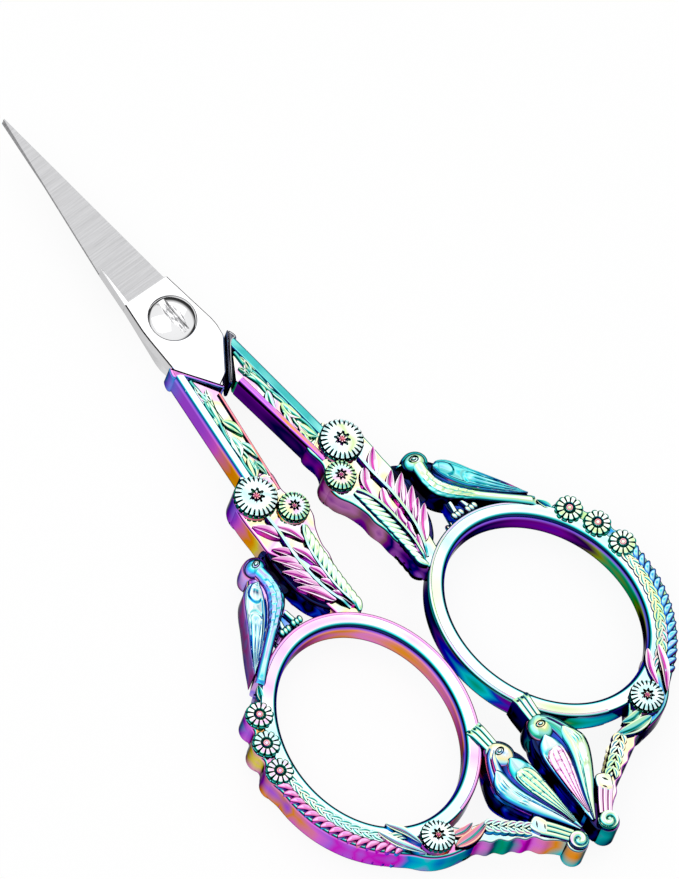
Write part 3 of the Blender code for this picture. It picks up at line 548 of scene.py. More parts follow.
def flower_drums():
    return [disc(FLOWER, 2.7, 2.25, 0.25, -2.75), disc(SMALL_FLOWER, 1.95, 2.2, 0.25, -2.7),
            disc(CORNER, 2.1, 2.25, 0.25, -2.75)]


def flower_hearts():
    solids = [star_heart(FLOWER, 0.62, 2.96), star_heart(SMALL_FLOWER, 0.42, 2.9), star_heart(CORNER, 0.46, 2.92)]
    return solids + [button(ring_at(degrees, 2.2), 0.5, 2.42) for degrees in DAISY_ANGLES]


def outwards(path, section, closed=False):
    """The section with its first axis away from the finger ring's middle."""
    return section if np.dot(sides(path, closed)[0], path[0] - RING_CENTRE) >= 0 else [(-x, y) for x, y in section]


def ring():
    steps = 200
    path = np.array([ring_at(360 * k / steps, RING_WIDTH / 2) for k in range(steps)])
    wide, tall = RING_WIDTH / 2 + 0.2, 1.9
    top = [(wide, tall - 0.6), (wide, tall - 0.5), (wide - 0.03, tall - 0.26), (wide - 0.11, tall - 0.09),
           (wide - 0.22, tall - 0.01), (wide - 0.27, tall), (-0.32, tall), (-0.4, tall - 0.01), (-0.54, tall - 0.05),
           (-0.7, tall - 0.16), (-0.84, tall - 0.32), (-0.95, tall - 0.54), (-wide + 0.03, tall - 0.76),
           (-wide, tall - 0.98), (-wide, tall - 1.08)]
    return [sweep(path, outwards(path, top + [(x, -y) for x, y in reversed(top)], True), True)]


def ring_edge():
    """The coloured bead along the ring's outer edge, where no ornament covers it."""
    path = np.array([ring_at(degrees, RING_WIDTH / 2 + 0.83) for degrees in np.linspace(203, 409, 150)])
    section = [(-0.22, 1.4), (-0.22, 1.9), (-0.16, 1.95), (0.02, 1.95), (0.14, 1.88), (0.21, 1.74), (0.24, 1.5),
               (0.24, 1.4)]
    return both(sweep(path, outwards(path, section)), 0)


def perched_body():
    back = plan(41.4, -20.3, 39, -19, 36, -17.1, 34, -16, 32.6, -14.7, 31.3, -13.6, 30.4, -12.9, 30, -12.2)
    belly = plan(41.4, -19.3, 39.3, -16.2, 37.9, -13.9, 36.9, -12.4, 35.5, -11.45, 33.6, -11.15, 31.8, -11.15,
                 30.5, -11.6)
    thigh = plan(37, -12.2, 37.2, -14, 39.6, -14.9, 39.9, -12.6)
    return [between(back, belly, lambda s, t: 1.2 + 0.95 * arch(t) * np.sin(np.pi * (0.15 + 0.7 * s)) ** 0.5, 80, 30),
            slab(thigh, 40, 1.1, 0.2, 2)]


def perched_head():
    """Head, throat and breast, running on as the long tail."""
    upper = plan(30.2, -12.9, 31.4, -13.3, 32.6, -13.2, 34.2, -13.4, 36, -14.5, 37.9, -16.1, 39.6, -18.1, 41.4, -20.3,
                 42.5, -21.6)
    lower = plan(30.7, -11.6, 31.8, -11.2, 33.6, -11.1, 35.5, -11.4, 36.9, -12.35, 38.1, -13.9, 39.9, -16.3,
                 42, -18.9, 43.7, -20.8)

    def height(s, t):
        crown = 2.66 - 0.35 * ease(s, 0.35, 0.8) - 0.25 * ease(s, 0.97, 1.0)
        marks = 0.11 * feathers(s, t, 15, 4) * ease(s, 0.12, 0.2) * ease(s, 0.6, 0.5) * ease(t, 0.9, 0.6)
        return 1.2 + (crown - 1.2) * arch(t, 0.24) - marks

    return [dome(P(31.05, -12.3), 1.75, 1.0, 2.72, math.radians(12), 0.38), between(upper, lower, height, 110, 36),
            tube(plan(30.7, -11.6, 30.25, -10.6, 30.3, -9.4), 0.5, 2.05, 16, (1.0, 0.75, 0.12), 18)]


def perched_wing():
    upper = plan(41.8, -21.1, 39, -19.5, 36, -17.6, 34, -16.4, 32.8, -15.4, 32.35, -14.4, 32.6, -13.6)
    lower = plan(41.8, -20.9, 40.2, -18.7, 38.5, -16.7, 36.9, -15.2, 35.3, -14.1, 34, -13.5, 33.1, -13.3)

    def wing(s, t):
        crown = 1.7 + 1.15 * arch(t, 0.28) * (0.55 + 0.45 * s)
        dish = 0.24 * ease(np.abs(t + 0.1), 0.8, 0.6) * ease(s, 0.0, 0.25) * ease(s, 0.97, 0.9)
        quills = 0.12 * lobe((t + 1) / 2 * 4 + 0.5 * (1 - s), 0.6) * ease(s, 0.62, 0.5) * ease(s, 0.0, 0.2)
        cap = 0.2 * ease(s - 0.16 * t * t, 0.74, 0.78) * ease(s, 0.97, 0.92) * ease(np.abs(t), 0.7, 0.5)
        scales = 0.12 * groove(s - 0.66 + 0.12 * t * t, 0.022) * ease(np.abs(t), 0.7, 0.5)
        return np.minimum(crown - dish + quills + cap - scales, 2.95)

    return [between(upper, lower, wing, 120, 48)]


def perched_eye():
    return [eye(P(30.85, -12.15), 0.66, 2.9, math.radians(15))]


def perched_edge():
    edge = plan(41.4, -20.5, 39.8, -18.3, 38.1, -16.4, 36.3, -14.8, 34.5, -13.6, 33.2, -13.1)
    return [tube(edge, 0.3, 2.35, 50, (0.4, 0.85, 1, 1, 0.8), 20)]


def feet():
    solids = []
    for hip, foot in ((P(37.4, -12.7), P(39.1, -12.4)), (P(37.8, -14.0), P(39.3, -14.3))):
        solids += both(tube([hip, foot], 0.34, 0.36, 8), 1.45)
        for shift in (-0.5, 0.0, 0.5):
            solids += both(pebble(foot + (shift, -0.1 + 0.1 * abs(shift)), (0.25, 1), 0.52, 0.36, 0.42), 1.75)
    return solids


def daisies():
    return [daisy(ring_at(degrees, DAISY_OUT), 1.72, 2.42, 12, 0.4 * k) for k, degrees in enumerate(DAISY_ANGLES)]


def rim():
    outside = [(52, 1.3), (57, 2.0), (60, 2.9), (62.5, 3.5), (65.4, 3.8), (69, 3.55), (72.5, 3.05), (76, 3.6),
               (79.5, 3.85), (83, 3.55), (86.5, 3.1), (90, 3.6), (93.6, 3.85), (98, 3.6), (102, 3.35), (110, 3.38),
               (120, 3.4), (130, 3.4), (140, 3.42), (150, 3.45), (158, 3.5), (163, 3.65), (168, 3.9), (173, 4.5),
               (178, 5.0), (183, 5.3), (188, 5.5), (193, 5.7), (197, 5.8), (200, 5.7), (201, 4.7), (198, 3.6),
               (194, 2.6), (190, 1.4)]
    inside = [(degrees, RING_WIDTH * 0.5) for degrees in range(186, 50, -8)]
    solids = [slab([ring_at(degrees, out) for degrees, out in outside + inside], 320, 1.7, 0.3, 4, -2.4, 0.5, fine=5)]
    return solids + [disc(ring_at(degrees, DAISY_OUT), 1.74, PLATE_TOP, 0.2, -2.5) for degrees in DAISY_ANGLES]


def strand(ends, count):
    """The middle of each of count places along a line round the ring, with its two directions."""
    path = even(smooth([ring_at(degrees, out) for degrees, out in ends], 10), count)
    for k, side in zip(range(count), sides(path)):
        yield (path[k] + path[k + 1]) / 2, side, np.array((side[1], -side[0]))


def fern():
    """A cord of slanting strands along the rim."""
    ends = [(99, 2.72), (110, 2.68), (120, 2.68), (130, 2.7), (140, 2.75), (150, 2.82), (158, 2.95), (165, 3.2)]
    return [barb(here - side * 0.6 - along * 0.75, here + side * 0.55 + along * 0.7, 0.47, 1.8, 2.25, 0.12, 18, 16,
                 1.2, 0.35) for here, side, along in strand(ends, 15)]


def fern_leaves():
    """Two rows of small leaflets between the cord and the finger ring."""
    ends = [(97, 1.62), (108, 1.55), (124, 1.52), (140, 1.56), (152, 1.62), (163, 1.75)]
    solids = []
    for here, side, along in strand(ends, 13):
        outer, inner = here - along * 0.95 - side * 0.05, here - along * 0.5 + side * 0.1
        solids.append(low_leaf(outer, here + along * 0.9 + side * 0.5, 0.46, 1.7, 2.12, 0.1, 0.1))
        solids.append(low_leaf(inner, here + along * 1.1 - side * 0.4, 0.42, 1.7, 2.08, -0.1, 0.1))
    return solids + [leaflet(ring_at(57.5, 1.7), ring_at(50.0, 2.3), 0.5, 1.5, 2.0)]


def corner():
    return [rosette(CORNER, 2.1, 2.99, 20, 1.3, 0.8, 0.2)]


def side_leaves():
    return [leaflet(P(66.0, -21.6), P(71.4, -18.6), 0.6, LEAF_LOW, 2.45, -0.05, 0.22, ns=30),
            leaflet(P(65.7, -20.2), P(70.2, -18.2), 0.55, LEAF_LOW, 2.4, 0.06, 0.2, ns=30)]


def corner_leaf():
    return [leaflet(P(71.5, -14.4), P(71.5, -11.5), 0.66, LEAF_LOW, 2.45, -0.1, 0.24, ns=30),
            leaflet(P(72.8, -15.0), P(72.3, -9.8), 0.86, LEAF_LOW, 2.5, -0.06, 0.3, ns=34, nt=24)]


def bracket():
    web = plan(71.55, -14.3, 71.65, -12.2, 71.95, -10.6, 72.35, -9.7, 73.55, -8.1, 74.75, -6.6, 75.65, -5.5,
               76.75, -4.4, 78.55, -2.8, 80, -1.6, 81.1, -1.7, 81.1, -2.7, 79.55, -3.7, 78.65, -4.7, 78.05, -5.6,
               77, -6.35, 76.72, -7.39, 75.95, -8.16, 75.7, -9.23, 74.92, -10, 74.67, -11.06, 73.9, -11.83,
               73.65, -12.9, 73.25, -14.2, 72.55, -14.9)
    return [slab(web, 300, PLATE_TOP, 0.2, 4, PLATE_LOW, 0.3), disc(P(80.4, -2.4), 1.36, 1.9, 0.35, -2.7)]


def bracket_leaves():
    """Pairs of small leaves and beads along the bracket."""
    solids = []
    way = P(0.631, 0.776)
    out = np.array((way[1], -way[0]))
    for k in range(6):
        here = P(72.55 + 0.57 * k, -10.5 + 0.7 * k)
        for hand in (-1, 1):
            base, tip = here + out * 0.1 * hand, here + way * 1.25 + out * 0.66 * hand
            solids.append(low_leaf(base, tip, 0.42, 1.8, 2.36 - 0.04 * (k % 2), -0.12 * hand, 0.12))
        solids += both(pebble(here + way * 0.85, way, 0.34, 0.24, 0.3), 2.05)
    return solids


def bracket_collar():
    box = plan(75.2, -5.6, 76, -6.2, 77.7, -5.2, 76.9, -4.2, 76.2, -3.9, 75, -4.6)
    return [slab(box, 60, 2.3, 0.3, 4, None, 0.3, fine=4),
            tube(plan(75.2, -4.7, 76, -5.25, 76.9, -5.7), 0.26, 2.55, 14, (0.8, 1, 0.8), 24),
            tube(plan(76, -4.1, 76.8, -4.65, 77.6, -5.1), 0.26, 2.5, 14, (0.8, 1, 0.8), 24)]


def bracket_stem():
    return [patch(plan(76.6, -4.9, 77.9, -3.8, 79.5, -2.6),
                  lambda s, t: np.where(t > 0, 0.95 - 0.15 * s, 1.0 - 0.2 * s),
                  lambda s, t: 2.05 + 0.24 * lobe((t + 1) * 1.5, 0.35), 24, 72)]


def scroll():
    def spiral(r, a):
        coil = arch(2 * ((r * 1.3 - a / (2 * np.pi) - 0.1) % 1.0) - 1)
        return 2.3 + 0.3 * coil * ease(r, 0.0, 0.2) + 0.25 * (1 - ease(r, 0.0, 0.25)) - 0.3 * ease(r, 0.88, 1.0)

    return [polar(P(80.4, -2.3), lambda a: 1.24 + 0 * a, spiral, 34, 110, SEAT)]


def neck():
    """A fluted cup between the finger ring and the bird."""
    def flutes(s, t):
        return 2.05 + (0.1 * arch(t) + 0.26 * lobe((t + 1) / 2 * 3, 0.4)) * ease(s, -0.1, 0.25)

    cup = patch(plan(61.9, -3.65, 63.2, -3.5, 65.4, -3.35), lambda s, t: 1.1 - 0.2 * s, flutes, 30, 66)
    return [cup] + [pebble(P(62.1 + 0.1 * k, -4.4 + 0.75 * k), (0.3, 1), 0.5, 0.42, 2.5) for k in range(3)]


def hanging_body():
    outer = plan(79.2, -1.35, 76.5, -3.3, 73.5, -5.6, 71.5, -6.6, 70, -6.9, 68.4, -6.5, 66.8, -5.6, 65.6, -4.6,
                 64.95, -3.6)
    inner = plan(79.2, -0.75, 76, -0.62, 73, -0.6, 71, -0.62, 69.4, -0.66, 68, -0.8, 66.9, -1.3, 65.8, -2, 65, -2.9)
    return [between(outer, inner, lambda s, t: 1.5 + 0.75 * arch(t, 0.3) * (0.4 + 0.6 * s), 80, 34)]


def tail_web():
    """The joint between the bird's tail and the scroll: a sheet plated black as painted shade."""
    web = plan(77.3, -2.6, 77.3, -1.1, 79.1, -0.62, 80.5, -0.75, 80.6, -1.8, 79.7, -2.6, 78.7, -3.2)
    return [slab(web, 60, 1.5, 0.2, 3, -2.1)]


def hanging_head():
    return [dome(P(66.35, -3.15), 2.05, 1.4, 2.72, math.radians(-55), 0.36),
            tube(plan(66.5, -2.6, 66.95, -1.7, 67.6, -0.9), 0.8, 2.3, 20, (1.0, 0.85, 0.2), 28)]


def hanging_eye():
    return [eye(P(66.2, -3.15), 0.68, 2.9, math.radians(8))]


def hanging_cape():
    """The mantle: two smooth folds from the nape to the shoulder."""
    outer = plan(64.9, -4, 65.6, -4.9, 66.9, -5.75, 68.3, -6.4, 69.5, -6.8, 70.5, -6.85)
    inner = plan(66.6, -3.3, 67.2, -3.7, 67.9, -3.9, 68.6, -4, 69.6, -4.1, 70.4, -4.4)

    def height(s, t):
        return 1.2 + (1.5 - 0.1 * s) * arch(t, 0.26) - 0.3 * groove(t + 0.25, 0.12) * ease(s, 1.0, 0.8)

    return [between(outer, inner, height, 60, 48)]


def hanging_wing():
    left = plan(79.3, -1.3, 77, -2.95, 75, -4.5, 73, -5.8, 71.4, -6.6, 70.1, -6.85, 69, -6.45, 68.3, -5.7)
    right = plan(79.3, -1, 76.5, -1.85, 74, -2.8, 71.8, -3.65, 70.2, -4.05, 69.1, -4.15, 68.3, -4.35, 67.8, -4.8)

    def height(s, t):
        crown = 1.5 + 1.35 * arch(t, 0.26) * (0.35 + 0.65 * s ** 0.8)
        toes = 0.14 * lobe((t + 0.45) * 3.2) * groove(s - 0.82, 0.05) * (np.abs(t + 0.3) < 0.5)
        toes = toes + 0.1 * lobe((t + 0.2) * 2.6) * groove(s - 0.58, 0.035) * (np.abs(t) < 0.45)
        return np.minimum(crown + toes - 0.14 * groove(t - 0.5 + 0.3 * s, 0.1) * ease(s, 0.8, 0.6), 2.97)

    return [between(left, right, height, 120, 56)]


def hanging_fold():
    left = plan(79.2, -1, 76.5, -1.85, 74, -2.8, 71.8, -3.6, 70, -3.95, 68.6, -3.8, 67.7, -3.1)
    right = plan(79.2, -0.72, 76, -0.66, 73, -0.62, 70.5, -0.66, 69.2, -0.85, 68.2, -1.3, 67.6, -2.2)

    def height(s, t):
        rim = 1.5 + 1.25 * arch(t, 0.3) * (0.35 + 0.65 * s)
        dish = 0.2 * ease(np.abs(t), 0.84, 0.66) * ease(s, 0.0, 0.3) * ease(s, 0.84, 0.76)
        return np.minimum(rim - dish, 2.9)

    return [between(left, right, height, 110, 56)]


def hanging_quills():
    """The feathers that lie in the fold of the inner wing."""
    left = plan(78.2, -1.25, 76.2, -1.8, 74, -2.6, 71.8, -3.3, 70.2, -3.5, 69.5, -3.2)
    right = plan(78.2, -0.95, 76, -0.92, 73, -0.92, 71, -1, 70, -1.3, 69.4, -1.9)

    def height(s, t):
        slant = (t + 1) / 2 * 3.4 + 0.8 * s
        strokes = 0.13 * lobe(slant) * ease(s, 1.0, 0.9)
        breaks = 0.1 * groove(np.abs(np.sin(np.pi * (s * 3 + 0.33 * np.floor(slant)))), 0.16) * ease(s, 0.4, 0.6)
        return np.minimum(1.85 + 0.62 * s + 0.16 * arch(t) + strokes - breaks, 2.9)

    return [between(left, right, height, 130, 64, SEAT)]


# Materials


def put(tree, socket, value):
    """Sets an input to a value or links it to another node's output."""
    if isinstance(value, bpy.types.NodeSocket):
        tree.links.new(value, socket)
    else:
        socket.default_value = value


def new_node(tree, kind, **wanted):
    """A shader node. Names in small letters are its settings, the others its inputs."""
    made = tree.nodes.new("ShaderNode" + kind)
    for name, value in wanted.items():
        if name.islower():
            setattr(made, name, value)
        else:
            put(tree, made.inputs[name.replace("_", " ")], value)
    return made


def nodes_of(name, **inputs):
    """A new material, its node tree and its main shader."""
    made = bpy.data.materials.new(name)
    made.use_nodes = True
    shader = made.node_tree.nodes["Principled BSDF"]
    for key, value in inputs.items():
        put(made.node_tree, shader.inputs[key.replace("_", " ")], value)
    return made, made.node_tree, shader


def ramp(tree, stops, fac):
    made = new_node(tree, "ValToRGB", Fac=fac)
    band = made.color_ramp
    while len(band.elements) < len(stops):
        band.elements.new(0.5)
    for element, (place, colour) in zip(band.elements, stops):
        element.position = place
        element.color = (*colour, 1)
    return made.outputs["Color"]


def calc(tree, operation, a, b=None, kind="Math", **settings):
    made = new_node(tree, kind, operation=operation, **settings)
    for socket, value in zip(made.inputs, (a,) if b is None else (a, b)):
        put(tree, socket, value)
    return made.outputs["Value" if operation == "DOT_PRODUCT" else 0]


def blend(tree, fac, a, b):
    made = new_node(tree, "Mix", data_type="RGBA")
    one, two = [socket for socket in made.inputs if socket.type == "RGBA"]
    for socket, value in ((made.inputs["Factor"], fac), (one, a), (two, b)):
        put(tree, socket, value)
    return [socket for socket in made.outputs if socket.type == "RGBA"][0]


def rainbow(name, seed, flats, slopes, walls, grain=1.0, calm=1.0, run=None):
    """Interference colours with painted light: they follow the tilt of the surface and drift over the plating.
    Near-white flats are painted highlights, and the dark colours on slopes and walls are painted shade and dark
    reflections.
    """
    edge_tint = (0.12, 0.12, 0.14, 1)
    made, tree, shader = nodes_of("rainbow_" + name, Metallic=1.0, Roughness=0.09, Specular_Tint=edge_tint)

    def add(a, b):
        return calc(tree, "ADD", a, b)

    def times(a, b):
        return calc(tree, "MULTIPLY", a, b)

    def wheel(phase, text):
        """Colours evenly spread round a circle of phases."""
        stops = [COLOURS[word] for word in SHARED.get(text, text).split()]
        stops = [(k / len(stops), colour) for k, colour in enumerate(stops)] + [(1.0, stops[0])]
        return ramp(tree, stops, calc(tree, "FRACT", add(phase, 0.5)))

    def share(value, low, high):
        return new_node(tree, "MapRange", From_Min=low, From_Max=high, Value=value).outputs[0]

    thick = PIVOT.z * MM  # half the casting's thickness
    spot = new_node(tree, "TexCoord").outputs
    normal = new_node(tree, "SeparateXYZ", Vector=spot["Normal"]).outputs
    angle = times(calc(tree, "ARCCOSINE", calc(tree, "ABSOLUTE", normal["Z"], use_clamp=True)), 2 / math.pi)
    drift = []
    for k, (scale, squash) in enumerate(((85, 1.0), (300, 1.0), (330, 0.12))):
        noise = new_node(tree, "TexNoise", noise_dimensions="4D", W=seed + 7.3 * k, Scale=scale * grain, Detail=1.0,
                     Vector=calc(tree, "MULTIPLY", spot["Object"], (1.0, 1.0, squash), "VectorMath"))
        drift.append(calc(tree, "SUBTRACT", noise.outputs["Fac"], 0.5))
    facing = calc(tree, "DIVIDE", calc(tree, "ARCTAN2", normal["Y"], normal["X"]), 2 * math.pi)
    height = new_node(tree, "SeparateXYZ", Vector=spot["Object"]).outputs["Z"]
    level = calc(tree, "DIVIDE", calc(tree, "ABSOLUTE", calc(tree, "SUBTRACT", height, thick)), thick)
    flat_phase = add(times(drift[0], 2.6), times(drift[1], 1.0))
    sway = times(calc(tree, "SINE", times(facing, 4 * math.pi)), 0.04)
    tilt = add(add(angle, times(drift[1], 0.16)), sway)
    wall_phase = add(add(times(drift[2], 1.7 * calm), times(level, 0.3 * calm)), times(drift[0], 1.5 * calm))
    if run:
        start, x, y = run
        way = calc(tree, "DOT_PRODUCT", spot["Object"], (x, y, 0.0), "VectorMath")
        wall_phase = add(wall_phase, add(way, start - 0.5))
    words = SHARED.get(slopes, slopes).split()
    slope = ramp(tree, [(int(place) / 100, COLOURS[word]) for place, word in zip(words[::2], words[1::2])], tilt)
    # Near-white flat colours are painted highlights; the dark bands in the slope ramp are painted shade.
    colour = blend(tree, share(tilt, 0.03, 0.13), wheel(flat_phase, flats), slope)
    put(tree, shader.inputs["Base Color"], blend(tree, share(angle, 0.74, 0.88), colour, wheel(wall_phase, walls)))
    return made


COLOURS = dict(
    WHITE=(0.94, 0.97, 0.96), CREAM=(0.98, 0.88, 0.46), ICE=(0.52, 0.92, 0.92), BLUSH=(0.9, 0.5, 0.82),
    LIME=(0.58, 0.88, 0.36), TEAL=(0, 0.2, 0.19), GREEN=(0.02, 0.36, 0.2), CYAN=(0.04, 0.62, 0.7),
    AZURE=(0.03, 0.3, 0.74), BLUE=(0.03, 0.08, 0.55), VIOLET=(0.26, 0.1, 0.74), MAGENTA=(0.68, 0.06, 0.66),
    PINK=(0.86, 0.28, 0.66), ORANGE=(0.88, 0.34, 0.06), YELLOW=(0.84, 0.72, 0.12), INK=(0.006, 0.005, 0.012),
    NAVY=(0.008, 0.025, 0.13), PLUM=(0.055, 0.008, 0.1), OLIVE=(0.26, 0.32, 0.05), LILAC=(0.56, 0.42, 0.9),
    PURPLE=(0.2, 0.025, 0.32), ROSE=(0.86, 0.2, 0.4), SEA=(0.05, 0.42, 0.42), DEEP=(0.15, 0.025, 0.27),
    SHADE=(0, 0.33, 0.31), FOAM=(0.3, 0.8, 0.74), RUST=(0.45, 0.12, 0.07), FUCHSIA=(0.8, 0.2, 0.78),
    IRIS=(0.34, 0.24, 0.9), MAUVE=(0.5, 0.17, 0.84), PEARL=(0.95, 0.74, 0.92), GREY=(0.3, 0.3, 0.36),
    JADE=(0.08, 0.52, 0.48), ORCHID=(0.92, 0.5, 0.82), DUSK=(0.24, 0.09, 0.34), HEATHER=(0.5, 0.2, 0.46),
    WINE=(0.3, 0.15, 0.2), GRAPE=(0.3, 0.1, 0.4), COPPER=(0.78, 0.36, 0.16), CORAL=(0.85, 0.3, 0.3),
    HAZE=(0.5, 0.62, 0.95))

# Colours that more than one plating uses, for the flat and for walls. Slopes give each colour's place before it,
# in hundredths of the way from flat to upright.
SHARED = {
    # The whites on the flats are painted highlights.
    "warm": "WHITE CREAM WHITE CREAM BLUSH WHITE CREAM ICE",
    "cool": "WHITE ICE WHITE ICE WHITE LIME",
    "bright walls": "MAGENTA VIOLET FUCHSIA ORANGE PINK MAGENTA AZURE VIOLET",
    # Painted shade: the deep walls darken the right handle's walls beside the left handle, the night walls darken
    # walls in crevices and between the handles, and the night slopes darken slopes.
    "deep walls": "PURPLE DEEP PLUM DEEP PURPLE NAVY DEEP PLUM",
    "night walls": "INK NAVY INK INK NAVY PLUM",
    "ring slopes": "8 WHITE 16 ICE 25 CYAN 34 SHADE 44 INK 54 NAVY 64 BLUE 76 VIOLET",
    "sky slopes": "10 WHITE 20 ICE 32 CYAN 44 AZURE 58 BLUE 68 NAVY 80 VIOLET",
    "leaf slopes": "10 WHITE 20 PEARL 32 ORCHID 48 PINK 60 MAGENTA 74 PLUM",
    "green slopes": "10 WHITE 20 LIME 30 FOAM 42 CYAN 54 GREEN 66 SHADE 76 INK",
    "night slopes": "10 INK 30 NAVY 50 INK 60 PLUM 75 INK",
    "mead slopes": "10 WHITE 20 LIME 32 FOAM 44 CYAN 56 GREEN 66 AZURE 76 INK",
    "bud slopes": "10 WHITE 24 CREAM 36 ICE 48 CYAN 60 PINK 70 INK 80 TEAL",
    "rim slopes": "10 LIME 22 CYAN 36 SHADE 50 NAVY 65 INK 78 FUCHSIA"}
